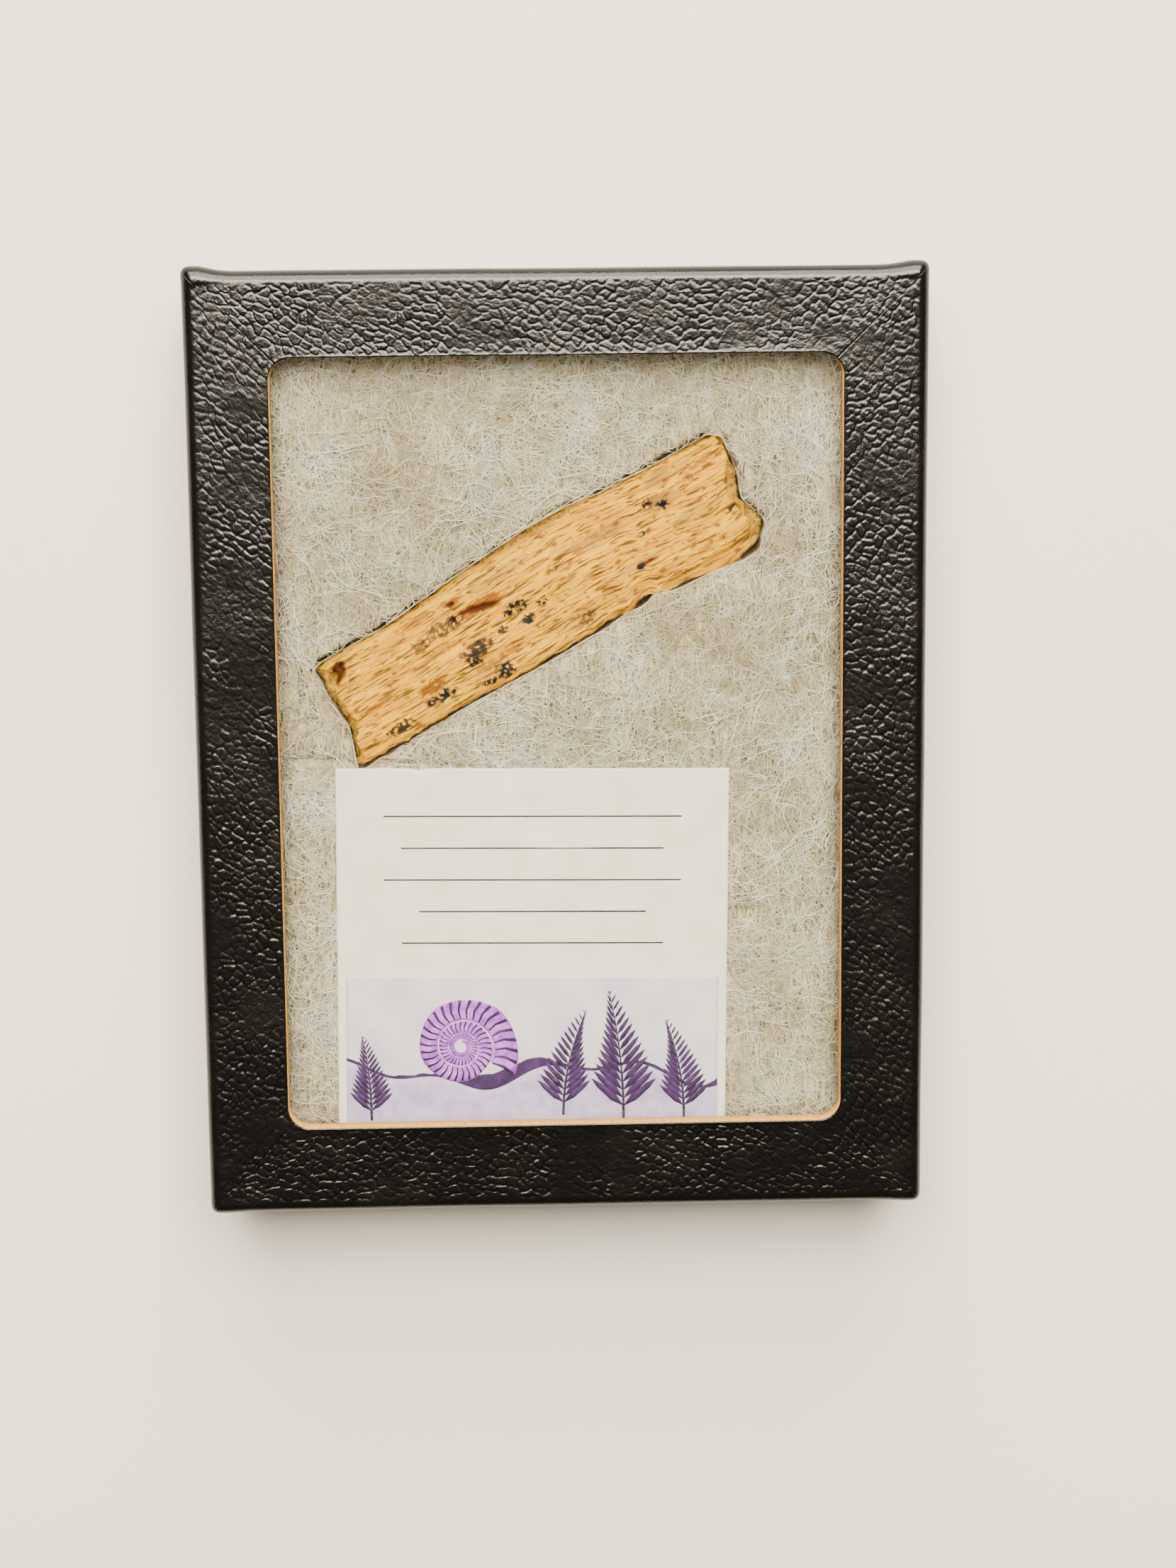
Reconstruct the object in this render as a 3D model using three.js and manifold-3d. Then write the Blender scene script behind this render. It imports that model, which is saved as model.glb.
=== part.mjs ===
// A fossil bone fragment in a flat cardboard display box with a glass window.
// The box lies on its back. Millimetres, +Z up out of the window, +Y towards the box's top edge,
// origin at the middle of the underside.
import * as THREE from "three";
import { mergeVertices } from "three/addons/utils/BufferGeometryUtils.js";
import Module from "manifold-3d";

const wasm = await Module();
wasm.setup();

// Driving dimensions
const BOX = { width: 82.5, length: 107.5, height: 19, planCorner: 1.9, edgeRound: 1.6 };
const LID = { wall: 1.5, top: 1.3, lift: 0.8 };
const WINDOW = { width: 63.2, length: 87.5, x: -0.1, y: 0.5, corner: 2.4, lip: 0.35 };
const TRAY = { slack: 0.3, wall: 1.3, floor: 1.3, corner: 1.2 };
const GLASS = { thickness: 1.6, slack: 0.25, gap: 0.1 };
const PAD = { slack: 0.25, crown: 15.5, edge: 12.2, fall: 9, lump: 0.22, pitch: 4 };
const CARD = { width: 44.8, length: 44.4, thickness: 0.35, x: -3.6, y: -24.55, turn: -0.8, top: 15.7 };
const PIN = { shank: 0.35, head: 0.85, headHeight: 0.5, length: 20, point: 1.5, z: 6.5, clearance: 0.3 };
const BONE = { x: -1.77, y: 17.25, turn: 29.67, middle: 12.35, half: 3.35, cortex: 1.5 };
const SECTION = { square: 6, crown: 0.75, taper: 0.05, topSteps: 26, underSteps: 14 };
// The broken slope on the bone's upper edge and the low shelf on its lower edge: where each starts and ends
const SLOPE = { depth: 1.5, v: [5.2, 7.4], rise: [-9, -4], fall: [6, 10] };
const SHELF = { depth: 0.7, v: [5.6, 6.1], rise: [11.5, 12.6] };
// Long low ridges and a slow roll on the bone's upper face: height, turns per millimetre across and along
const RIDGES = { height: 0.09, across: 1.9, along: 0.12 };
const ROLL = { height: 0.1, across: 0.5, along: 0.33 };
const SEAT_GAP = 0.35;
const OVERSHOOT = 2;

// The bone's plan, in its own frame: u runs along it and v across it, from its middle.
const LOWER_EDGE = [
  [-27, -6.5], [-25, -6.4], [-14, -6.3], [-3, -6.6], [4, -6.5], [7, -6.2], [9, -6.5],
  [12, -6.8], [18, -7.1], [22, -7.8], [24, -7.5], [25.5, -7],
];
const UPPER_EDGE = [
  [-27, 5.9], [-25, 6.2], [-18, 6], [-14, 6.3], [-6, 7],
  [2, 7.5], [7, 7.4], [11, 6.75], [18, 6.45], [26, 6.3],
];
// The ends, as [v, u] pairs: the dense outer layer and the spongy core under it break off differently.
const LEFT_CORTEX = [
  [-6.2, -27.5], [-3.8, -26.8], [-2, -25.9], [0.7, -25.6], [1.8, -26.1], [4.4, -24.6], [5.7, -26],
];
const LEFT_CORE = [[-6, -27.9], [-4, -27.1], [-1.5, -26.3], [1.5, -26.6], [5.5, -26.4]];
const RIGHT_CORTEX = [
  [-7.2, 23], [-4.4, 24], [-2.8, 24.3], [-0.9, 23.4], [1.85, 24.5], [2.7, 25.3], [4.8, 25.9], [6.1, 25.9],
];
const RIGHT_CORE = [
  [-7.3, 23.7], [-5, 25.7], [-3, 24.9], [-1.7, 24.5], [1.3, 25.6], [5.5, 26.1], [6.5, 24.7],
];
// Pits in the bone's upper face: middle, half length along u, half width, depth and slant
const PITS = [
  { u: -6.9, v: 2.5, long: 2.9, wide: 0.8, depth: 0.7, slant: -0.2 },
  { u: -24.6, v: 4.1, long: 1.5, wide: 1.1, depth: 1.1, slant: 0.5 },
  { u: 16.2, v: 2.4, long: 1.3, wide: 0.8, depth: 0.3, slant: 0 },
];

// Heights and sizes that follow from the driving dimensions
const PANE_TOP = BOX.height - LID.top - GLASS.gap;
const PANE_UNDER = PANE_TOP - GLASS.thickness;
const TRAY_TOP = PANE_UNDER - GLASS.gap;
const BORE = { width: BOX.width - 2 * LID.wall, length: BOX.length - 2 * LID.wall };
const TRAY_OUT = { width: BORE.width - 2 * TRAY.slack, length: BORE.length - 2 * TRAY.slack };
const TRAY_IN = { width: TRAY_OUT.width - 2 * TRAY.wall, length: TRAY_OUT.length - 2 * TRAY.wall };

// Turns a closed geometry into a solid that can be joined and cut.
function solid(geometry) {
  const bare = geometry.clone();
  bare.deleteAttribute("normal");
  bare.deleteAttribute("uv");
  const merged = mergeVertices(bare, 1e-4);
  return new wasm.Manifold(
    new wasm.Mesh({
      numProp: 3,
      vertProperties: merged.attributes.position.array,
      triVerts: new Uint32Array(merged.index.array),
    }),
  );
}

// Turns a solid back into a geometry.
function geometryOf(body) {
  const { vertProperties, triVerts } = body.getMesh();
  const geometry = new THREE.BufferGeometry();
  geometry.setAttribute("position", new THREE.BufferAttribute(vertProperties, 3));
  geometry.setIndex(new THREE.BufferAttribute(triVerts, 1));
  return geometry;
}

// One named sub-part with its own finish.
function piece(name, geometry, color, roughness, metalness = 0) {
  geometry.computeVertexNormals();
  const mesh = new THREE.Mesh(geometry, new THREE.MeshStandardMaterial({ color, roughness, metalness }));
  mesh.name = name;
  return mesh;
}

// A rectangle with round corners, about the origin.
function roundedRectangle(width, length, corner) {
  const shape = new THREE.Shape();
  const x = width / 2 - corner;
  const y = length / 2 - corner;
  shape.absarc(x, y, corner, 0, Math.PI / 2);
  shape.absarc(-x, y, corner, Math.PI / 2, Math.PI);
  shape.absarc(-x, -y, corner, Math.PI, 1.5 * Math.PI);
  shape.absarc(x, -y, corner, 1.5 * Math.PI, 2 * Math.PI);
  return shape;
}

// A straight slab of a shape between two heights.
function slab(shape, low, high, curveSegments = 5) {
  const options = { depth: high - low, bevelEnabled: false, curveSegments };
  return new THREE.ExtrudeGeometry(shape, options).translate(0, 0, low);
}

// A straight block between two heights.
function boxBetween(width, length, low, high) {
  return new THREE.BoxGeometry(width, length, high - low).translate(0, 0, (low + high) / 2);
}

// The lid's outside: a block whose top edges are rounded over where the paper folds.
function lidBlock() {
  const round = BOX.edgeRound;
  const top = roundedRectangle(BOX.width - 2 * round, BOX.length - 2 * round, BOX.planCorner - round);
  const options = {
    depth: BOX.height,
    bevelThickness: round,
    bevelSize: round,
    bevelSegments: 4,
    curveSegments: 4,
  };
  return new THREE.ExtrudeGeometry(top, options).translate(0, 0, -round);
}

// The window's cut, with a small chamfer where the cut board edge meets the paper.
function windowCut() {
  const opening = roundedRectangle(WINDOW.width, WINDOW.length, WINDOW.corner);
  const shaft = slab(opening, BOX.height - 2 * LID.top, BOX.height + OVERSHOOT);
  const options = {
    depth: OVERSHOOT,
    bevelThickness: WINDOW.lip,
    bevelSize: WINDOW.lip,
    bevelSegments: 1,
    curveSegments: 5,
  };
  const chamfer = new THREE.ExtrudeGeometry(opening, options).translate(0, 0, BOX.height);
  return solid(shaft).add(solid(chamfer)).translate([WINDOW.x, WINDOW.y, 0]);
}

// The round hole that a pin's shank passes through, right across the box.
function pinHole() {
  const radius = PIN.shank + PIN.clearance;
  const hole = new THREE.CylinderGeometry(radius, radius, BOX.width + 2 * OVERSHOOT, 12);
  return solid(hole.rotateZ(Math.PI / 2).translate(0, 0, PIN.z));
}

function lid() {
  const below = boxBetween(BOX.width + OVERSHOOT, BOX.length + OVERSHOOT, -2 * BOX.edgeRound, LID.lift);
  const bore = boxBetween(BORE.width, BORE.length, -BOX.edgeRound, BOX.height - LID.top);
  const body = solid(lidBlock()).subtract(solid(below)).subtract(solid(bore));
  return geometryOf(body.subtract(windowCut()).subtract(pinHole()));
}

function tray() {
  const outside = slab(roundedRectangle(TRAY_OUT.width, TRAY_OUT.length, TRAY.corner), 0, TRAY_TOP);
  const inside = boxBetween(TRAY_IN.width, TRAY_IN.length, TRAY.floor, BOX.height);
  return geometryOf(solid(outside).subtract(solid(inside)).subtract(pinHole()));
}

function glassPane() {
  const width = BORE.width - 2 * GLASS.slack;
  const length = BORE.length - 2 * GLASS.slack;
  return boxBetween(width, length, PANE_UNDER, PANE_TOP);
}

// Smooth step from 0 at low to 1 at high.
function ramp(value, low, high) {
  return THREE.MathUtils.smoothstep(value, low, high);
}

// The fibre's upper surface: pressed flat against the glass in the middle and falling away at its edges.
function padHeight(x, y) {
  const fromEdge = Math.min(TRAY_IN.width / 2 - Math.abs(x), TRAY_IN.length / 2 - Math.abs(y));
  const lumps = Math.sin(0.31 * x + 0.6 * Math.sin(0.17 * y)) * Math.cos(0.23 * y + 0.5 * Math.sin(0.21 * x));
  return PAD.edge + (PAD.crown - PAD.edge) * ramp(fromEdge, 0, PAD.fall) + PAD.lump * (lumps - 1) / 2;
}

// The pad's block: a grid of columns with the upper surface above, upright sides and a flat underside.
function padBlock() {
  const width = TRAY_IN.width - 2 * PAD.slack;
  const length = TRAY_IN.length - 2 * PAD.slack;
  const columns = Math.round(width / PAD.pitch);
  const rows = Math.round(length / PAD.pitch);
  const grid = new THREE.BoxGeometry(width, length, 1, columns, rows, 1);
  const position = grid.attributes.position;
  for (let i = 0; i < position.count; i += 1) {
    const top = position.getZ(i) > 0;
    const height = padHeight(position.getX(i), position.getY(i));
    position.setZ(i, top ? height : TRAY.floor + PAD.slack);
  }
  return grid;
}

// The bone's outline in plan, grown by a margin, as a shape in its own frame.
function boneOutline(margin) {
  const grow = ([u, v]) => new THREE.Vector2(
    u + margin * Math.sign(u),
    v + margin * Math.sign(v),
  );
  const lower = LOWER_EDGE.slice(1, -1).map(grow);
  const upper = UPPER_EDGE.slice(1, -1).reverse().map(grow);
  const left = LEFT_CORE.map(([v, u]) => grow([u, v])).reverse();
  const right = RIGHT_CORE.map(([v, u]) => grow([u, v]));
  return new THREE.Shape([...lower, ...right, ...upper, ...left]);
}

// The hollow in the fibre that the bone lies in.
function boneSeat() {
  const floor = BONE.middle - BONE.half - SEAT_GAP;
  const hollow = slab(boneOutline(SEAT_GAP), floor, BOX.height);
  return solid(toBox(hollow));
}

// The shallow hollow in the fibre that the card lies in.
function cardSeat() {
  const low = CARD.top - CARD.thickness - SEAT_GAP;
  const hollow = boxBetween(CARD.width + 2 * SEAT_GAP, CARD.length + 2 * SEAT_GAP, low, BOX.height);
  return solid(toCard(hollow));
}

function fibrePad() {
  return geometryOf(solid(padBlock()).subtract(boneSeat()).subtract(cardSeat()).subtract(pinHole()));
}

// Moves a geometry from the card's own frame to its place in the box.
function toCard(geometry) {
  return geometry.rotateZ(THREE.MathUtils.degToRad(CARD.turn)).translate(CARD.x, CARD.y, 0);
}

function labelCard() {
  return toCard(boxBetween(CARD.width, CARD.length, CARD.top - CARD.thickness, CARD.top));
}

// Moves a geometry from the bone's own frame to its place in the box.
function toBox(geometry) {
  return geometry.rotateZ(THREE.MathUtils.degToRad(BONE.turn)).translate(BONE.x, BONE.y, 0);
}

// The value of a table of [place, value] pairs at a place, in straight lines between them.
function along(table, place) {
  const next = table.findIndex(([p]) => p >= place);
  if (next === -1) return table.at(-1)[1];
  if (next === 0) return table[0][1];
  const [p0, a] = table[next - 1];
  const [p1, b] = table[next];
  return a + ((b - a) * (place - p0)) / (p1 - p0);
}

// How far the upper face sinks at a place: the pits, the sandy slope on the upper edge and the lower shelf.
function sink(u, v) {
  let depth = SLOPE.depth * ramp(v, ...SLOPE.v) * ramp(u, ...SLOPE.rise) * (1 - ramp(u, ...SLOPE.fall));
  depth += SHELF.depth * ramp(-v, ...SHELF.v) * ramp(u, ...SHELF.rise);
  for (const pit of PITS) {
    const du = (u - pit.u) / pit.long;
    const dv = (v - pit.v - pit.slant * (u - pit.u)) / pit.wide;
    depth += pit.depth * Math.max(0, 1 - du * du - dv * dv);
  }
  return depth;
}

// The ridges and the roll together, never above the face.
function relief(u, v) {
  const ridges = RIDGES.height * (Math.sin(RIDGES.across * v + RIDGES.along * u) - 1);
  const roll = ROLL.height * (Math.sin(ROLL.across * v + ROLL.along * u) - 1);
  return ridges + roll;
}

// Points round a square-shouldered oval of half width and half height 1, at even steps of its length:
// first over the upper half from its right side to its left, then back under it.
function sectionPoints(steps, from) {
  const power = 2 / SECTION.square;
  const fine = 720;
  const raw = [];
  for (let i = 0; i <= fine; i += 1) {
    const angle = from + (Math.PI * i) / fine;
    const [c, s] = [Math.cos(angle), Math.sin(angle)];
    raw.push(new THREE.Vector2(Math.sign(c) * Math.abs(c) ** power, Math.sign(s) * Math.abs(s) ** power));
  }
  const walked = [0];
  for (let i = 1; i <= fine; i += 1) walked.push(walked[i - 1] + raw[i].distanceTo(raw[i - 1]));
  const points = [];
  for (let i = 0; i < steps; i += 1) {
    const wanted = (walked.at(-1) * i) / steps;
    points.push(raw[walked.findIndex((length) => length >= wanted)]);
  }
  return points;
}

// A point on the bone's skin. share runs from its left end to its right end, side is the point's place on
// the section, and reach is 1 on the sides and falls to 0 at the middle of each end.
function bonePoint(share, side, reach) {
  const nominal = THREE.MathUtils.lerp(-26.5, 25.2, share);
  const low = along(LOWER_EDGE, nominal);
  const high = along(UPPER_EDGE, nominal);
  const up = side.y * reach;
  const across = side.x * reach * (1 - SECTION.taper * (1 - up));
  const v = (low + high) / 2 + ((high - low) / 2) * across;
  const depth = ramp(BONE.half * (1 - up), BONE.cortex - 0.3, BONE.cortex + 0.3);
  const left = THREE.MathUtils.lerp(along(LEFT_CORTEX, v), along(LEFT_CORE, v), depth);
  const right = THREE.MathUtils.lerp(along(RIGHT_CORTEX, v), along(RIGHT_CORE, v), depth);
  const u = THREE.MathUtils.lerp(left, right, share);
  const onTop = Math.max(0, up);
  const z = BONE.middle + BONE.half * up + onTop * (relief(u, v) - sink(u, v) - SECTION.crown * across ** 2);
  return new THREE.Vector3(u, v, z);
}

// The rings of the bone's skin from one end to the other: [share, reach].
function boneRings(stations) {
  const cap = [[0, 0.35], [0, 0.65], [0, 0.86], [0.001, 0.97]];
  const rings = [...cap];
  for (let i = 0; i <= stations; i += 1) {
    rings.push([0.006 + (0.988 * i) / stations, 1]);
  }
  return rings.concat(cap.reverse().map(([share, reach]) => [1 - share, reach]));
}

// The bone: rings round its length, closer together over the upper face, closed by a point at each end.
function boneFragment() {
  const rings = boneRings(52);
  const sides = [...sectionPoints(SECTION.topSteps, 0), ...sectionPoints(SECTION.underSteps, Math.PI)];
  const round = sides.length;
  const points = [bonePoint(0, sides[0], 0)];
  for (const [share, reach] of rings) {
    for (const side of sides) points.push(bonePoint(share, side, reach));
  }
  points.push(bonePoint(1, sides[0], 0));
  const faces = [];
  const last = points.length - 1;
  const at = (ring, step) => 1 + ring * round + (step % round);
  for (let step = 0; step < round; step += 1) {
    faces.push(0, at(0, step + 1), at(0, step));
    for (let ring = 0; ring + 1 < rings.length; ring += 1) {
      const [a, b] = [at(ring, step), at(ring, step + 1)];
      const [c, d] = [at(ring + 1, step), at(ring + 1, step + 1)];
      faces.push(a, b, c, b, d, c);
    }
    faces.push(last, at(rings.length - 1, step), at(rings.length - 1, step + 1));
  }
  const geometry = new THREE.BufferGeometry().setFromPoints(points);
  geometry.setIndex(faces);
  return toBox(geometry);
}

// A dressmaker's pin through the box's side, its head outside. side is 1 for the right and -1 for the left.
function pin(side) {
  const { shank, head, headHeight, length } = PIN;
  const profile = [
    [0, -length],
    [shank, -length + PIN.point],
    [shank, 0],
    [head, 0],
    [head, headHeight * 0.5],
    [head * 0.6, headHeight],
    [0, headHeight],
  ].map(([r, h]) => new THREE.Vector2(r, h));
  const geometry = new THREE.LatheGeometry(profile, 12);
  return geometry.rotateZ((-side * Math.PI) / 2).translate(side * (BOX.width / 2), 0, PIN.z);
}

const PAPER = 0x1d1a17;
const STEEL = 0xb9bcc0;
const group = new THREE.Group();
group.add(
  piece("tray", tray(), PAPER, 0.5),
  piece("lid", lid(), PAPER, 0.45),
  piece("glass_pane", glassPane(), 0xf2f5f4, 0.02),
  piece("fibre_pad", fibrePad(), 0xd7cdb7, 0.9),
  piece("bone_fragment", boneFragment(), 0xe6ac46, 0.6),
  piece("label_card", labelCard(), 0xf1ecd8, 0.75),
  piece("pin_left", pin(-1), STEEL, 0.3, 1),
  piece("pin_right", pin(1), STEEL, 0.3, 1),
);
export default group;
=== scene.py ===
"""Dresses a fossil bone fragment in its flat display box: lid, pane, fibre, bone, card and pins."""
import logging
import math
from dataclasses import dataclass, field
from enum import Enum

import bpy
import numpy as np
from mathutils import Matrix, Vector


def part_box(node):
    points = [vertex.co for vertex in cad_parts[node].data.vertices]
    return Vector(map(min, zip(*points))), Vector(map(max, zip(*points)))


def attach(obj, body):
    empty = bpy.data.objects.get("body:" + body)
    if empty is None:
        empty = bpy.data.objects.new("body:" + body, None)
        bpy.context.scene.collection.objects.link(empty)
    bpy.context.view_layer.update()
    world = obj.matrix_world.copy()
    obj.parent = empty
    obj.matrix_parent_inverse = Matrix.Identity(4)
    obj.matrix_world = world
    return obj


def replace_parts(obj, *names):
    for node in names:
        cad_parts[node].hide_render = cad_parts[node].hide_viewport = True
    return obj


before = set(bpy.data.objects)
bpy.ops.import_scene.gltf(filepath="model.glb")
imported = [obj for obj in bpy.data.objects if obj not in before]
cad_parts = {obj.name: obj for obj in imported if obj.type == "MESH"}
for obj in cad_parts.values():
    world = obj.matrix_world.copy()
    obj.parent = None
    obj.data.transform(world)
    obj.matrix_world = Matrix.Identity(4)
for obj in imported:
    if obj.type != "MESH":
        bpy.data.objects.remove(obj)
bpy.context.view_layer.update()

Array = np.ndarray
Finish = bpy.types.Material
Piece = bpy.types.Object
Table = tuple[tuple[float, float], ...]
Marks = tuple[tuple[float, ...], ...]
Place = tuple[float, float, float]
LOG = logging.getLogger("display_box")
BODY = "root"
MM = 0.001
HASH_SIZE = 65536
PRIMES = (73856093, 19349663, 83492791)
OCTAVE_SHIFT = 7.3
CELL_SPREAD = 0.8
FAR = 9.0
RGBA = {"out": 2, "data_type": "RGBA"}


# Numbers and patterns

def linear(hex_colour: str) -> tuple[float, float, float, float]:
    """Turn an sRGB hex colour into linear light.

    Args:
        hex_colour: a colour such as "#d9a55a".

    Returns:
        Red, green, blue and an alpha of 1.
    """
    channels = [int(hex_colour[i:i + 2], 16) / 255 for i in (1, 3, 5)]
    lit = [c / 12.92 if c <= 0.04045 else ((c + 0.055) / 1.055) ** 2.4 for c in channels]
    return lit[0], lit[1], lit[2], 1.0


def per_mm(size_mm: float) -> float:
    """Return the texture scale that gives a pattern of this real size on coordinates in metres."""
    return 1.0 / (size_mm * MM)


def smooth(value: Array, low: float, high: float) -> Array:
    """Step smoothly from 0 at low to 1 at high.

    Args:
        value: any numbers.
        low: where the step starts.
        high: where it ends; it may be below low for a falling step.

    Returns:
        The share squared times three less twice the share.
    """
    share = np.clip((value - low) / (high - low), 0.0, 1.0)
    return share * share * (3.0 - 2.0 * share)


def hashed(cells: Array, seed: int) -> Array:
    """Give every whole-numbered cell its own fixed random value.

    Args:
        cells: whole numbers, the last axis holding a cell's two or three places.
        seed: which table of random values.

    Returns:
        Values from 0 to 1, looked up by the places times large primes, mixed bit by bit.
    """
    table = np.random.default_rng(seed).random(HASH_SIZE)
    mixed = np.zeros(cells.shape[:-1], dtype=np.int64)
    for axis in range(cells.shape[-1]):
        mixed ^= cells[..., axis] * PRIMES[axis]
    return table[(mixed ^ (mixed >> 15)) % HASH_SIZE]


def noise(points: Array, seed: int) -> Array:
    """Smooth noise with one swell to a unit.

    Args:
        points: places, the last axis holding two or three coordinates.
        seed: which noise.

    Returns:
        Values from -1 to 1: the random values at the corners of a place's cell, mixed by the
        smoothed shares of the way between them.
    """
    cell = np.floor(points).astype(np.int64)
    share = points - cell
    share = share * share * (3.0 - 2.0 * share)
    total = np.zeros(points.shape[:-1])
    for corner in np.ndindex(*(2,) * points.shape[-1]):
        weight = np.prod(np.where(np.array(corner) == 1, share, 1.0 - share), axis=-1)
        total += weight * hashed(cell + np.array(corner), seed)
    return 2.0 * total - 1.0


def fractal(points: Array, seed: int, octaves: int) -> Array:
    """Add up noises, each twice as fine and half as strong as the last.

    Args:
        points: places, the last axis holding two or three coordinates.
        seed: which noise.
        octaves: how many noises are added.

    Returns:
        Values from about -1 to 1: the sum over the sum of the strengths.
    """
    total = np.zeros(points.shape[:-1])
    for octave in range(octaves):
        total += noise(points * 2.0 ** octave + OCTAVE_SHIFT * octave, seed + octave) / 2.0 ** octave
    return total / (2.0 - 2.0 ** (1 - octaves))


def cracked(points: Array, seed: int) -> tuple[Array, Array]:
    """Cut the plane into rounded cells.

    Args:
        points: places, the last axis holding two coordinates, with about one cell to a unit.
        seed: which pattern.

    Returns:
        The distance to the second nearest cell centre less that to the nearest, which is 0 in the
        creases, and a random value for each cell. Each square holds one centre, off its middle.
    """
    cell = np.floor(points).astype(np.int64)
    nearest = np.full(points.shape[:-1], FAR)
    second = nearest.copy()
    tone = nearest.copy()
    for step in np.ndindex(3, 3):
        square = cell + np.array(step) - 1
        centre_x = square[..., 0] + 0.5 + CELL_SPREAD * (hashed(square, seed) - 0.5)
        centre_y = square[..., 1] + 0.5 + CELL_SPREAD * (hashed(square, seed + 1) - 0.5)
        away = np.hypot(centre_x - points[..., 0], centre_y - points[..., 1])
        closer = away < nearest
        second = np.where(closer, nearest, np.minimum(second, away))
        tone = np.where(closer, hashed(square, seed + 2), tone)
        nearest = np.minimum(nearest, away)
    return second - nearest, tone


def along(table: Table, place: Array) -> Array:
    """Read a table of (place, value) pairs in straight lines between its places."""
    pairs = np.array(table)
    return np.interp(place, pairs[:, 0], pairs[:, 1])


def pack(*parts: Array | float) -> Array:
    """Put coordinates side by side along a new last axis."""
    return np.stack(np.broadcast_arrays(*parts), axis=-1)


def turned(points: Array, degrees: float) -> Array:
    """Turn points about the vertical.

    Args:
        points: places, the last axis holding X, Y and perhaps a height, which is left alone.
        degrees: how far, anticlockwise seen from above.

    Returns:
        The turned points.
    """
    angle = math.radians(degrees)
    result = points.copy()
    result[..., 0] = points[..., 0] * math.cos(angle) - points[..., 1] * math.sin(angle)
    result[..., 1] = points[..., 0] * math.sin(angle) + points[..., 1] * math.cos(angle)
    return result


def local(x: Array, y: Array, place: tuple[float, float], degrees: float) -> Array:
    """Find places of the box's plan in the frame of a piece that lies turned in it.

    Args:
        x: places along the box's X.
        y: places along its Y.
        place: the piece's middle.
        degrees: how far the piece is turned.

    Returns:
        The places less the middle, turned back.
    """
    return turned(pack(x - place[0], y - place[1]), -degrees)


# Meshes

def grid_faces(rows: int, columns: int, close_rows: bool = False, close_columns: bool = False) -> Array:
    """Number the corners of a grid's quads.

    Args:
        rows: how many rows of points there are, numbered row by row.
        columns: how many points each row has.
        close_rows: whether the last row joins the first.
        close_columns: whether each row's last point joins its first.

    Returns:
        One line of four point numbers for each quad.
    """
    row, column = np.meshgrid(
        np.arange(rows if close_rows else rows - 1),
        np.arange(columns if close_columns else columns - 1),
        indexing="ij",
    )
    next_row, next_column = (row + 1) % rows, (column + 1) % columns
    quads = (row * columns + column, row * columns + next_column,
             next_row * columns + next_column, next_row * columns + column)
    return np.stack(quads, axis=-1).reshape(-1, 4)


def faces_out(points: Array, faces: list[Array]) -> list[Array]:
    """Make a closed mesh's faces point outwards.

    Args:
        points: the mesh's points.
        faces: its groups of faces.

    Returns:
        The faces, all turned round if the volume that they enclose comes out negative. The volume is
        the sum over triangles of one corner times the cross product of the other two.
    """
    volume = 0.0
    for group in faces:
        for corner in range(1, group.shape[1] - 1):
            a, b, c = points[group[:, 0]], points[group[:, corner]], points[group[:, corner + 1]]
            volume += float(np.einsum("ij,ij->", a, np.cross(b, c)))
    return faces if volume > 0 else [group[:, ::-1] for group in faces]


def build(name: str, points_mm: Array, faces: list[Array], finish: Finish,
          values: dict[str, Array] | None = None, uv: Array | None = None, flat: bool = False) -> Piece:
    """Make a closed mesh object at the origin from arrays.

    Args:
        name: the piece's name.
        points_mm: its points in the part's frame, in millimetres.
        faces: groups of faces, each an array with as many columns as its faces have corners.
        finish: its material.
        values: named numbers for each point, read by its material.
        uv: a place on the pattern for each point.
        flat: whether its faces are shaded flat.

    Returns:
        The new object, riding on the part's one body.
    """
    points = np.asarray(points_mm, dtype=np.float64).reshape(-1, 3) * MM
    turned_out = faces_out(points, faces)
    corners = np.concatenate([group.ravel() for group in turned_out]).astype(np.int32)
    sizes = np.concatenate([np.full(len(group), group.shape[1]) for group in turned_out])
    starts = np.concatenate([[0], np.cumsum(sizes)[:-1]]).astype(np.int32)
    mesh = bpy.data.meshes.new(name)
    mesh.vertices.add(len(points))
    mesh.vertices.foreach_set("co", points.astype(np.float32).ravel())
    mesh.loops.add(len(corners))
    mesh.loops.foreach_set("vertex_index", corners)
    mesh.polygons.add(len(sizes))
    mesh.polygons.foreach_set("loop_start", starts)
    mesh.update(calc_edges=True)
    mesh.validate()
    for label, numbers in (values or {}).items():
        attribute = mesh.attributes.new(label, "FLOAT", "POINT")
        attribute.data.foreach_set("value", np.asarray(numbers, dtype=np.float32).ravel())
    if uv is not None:
        layer = mesh.uv_layers.new(name="pattern")
        layer.data.foreach_set("uv", uv.reshape(-1, 2)[corners].astype(np.float32).ravel())
    if not flat:
        mesh.shade_smooth()
    mesh.materials.append(finish)
    piece = bpy.data.objects.new(name, mesh)
    bpy.context.scene.collection.objects.link(piece)
    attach(piece, BODY)
    return piece


def slab(top: Array, bottom: Array) -> tuple[Array, list[Array]]:
    """Close two grids of the same shape into one body, with a wall all round their rims.

    Args:
        top: rows by columns by three coordinates.
        bottom: the same grid below it.

    Returns:
        The points, and the faces of the top, the bottom and the wall.
    """
    rows, columns = top.shape[:2]
    points = np.concatenate([top.reshape(-1, 3), bottom.reshape(-1, 3)])
    upper = grid_faces(rows, columns)
    number = np.arange(rows * columns).reshape(rows, columns)
    rim = np.concatenate([number[0, :-1], number[:-1, -1], number[-1, :0:-1], number[:0:-1, 0]])
    after = np.roll(rim, -1)
    wall = np.stack([after, rim, rim + rows * columns, after + rows * columns], axis=-1)
    return points, [upper, upper[:, ::-1] + rows * columns, wall]


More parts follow.
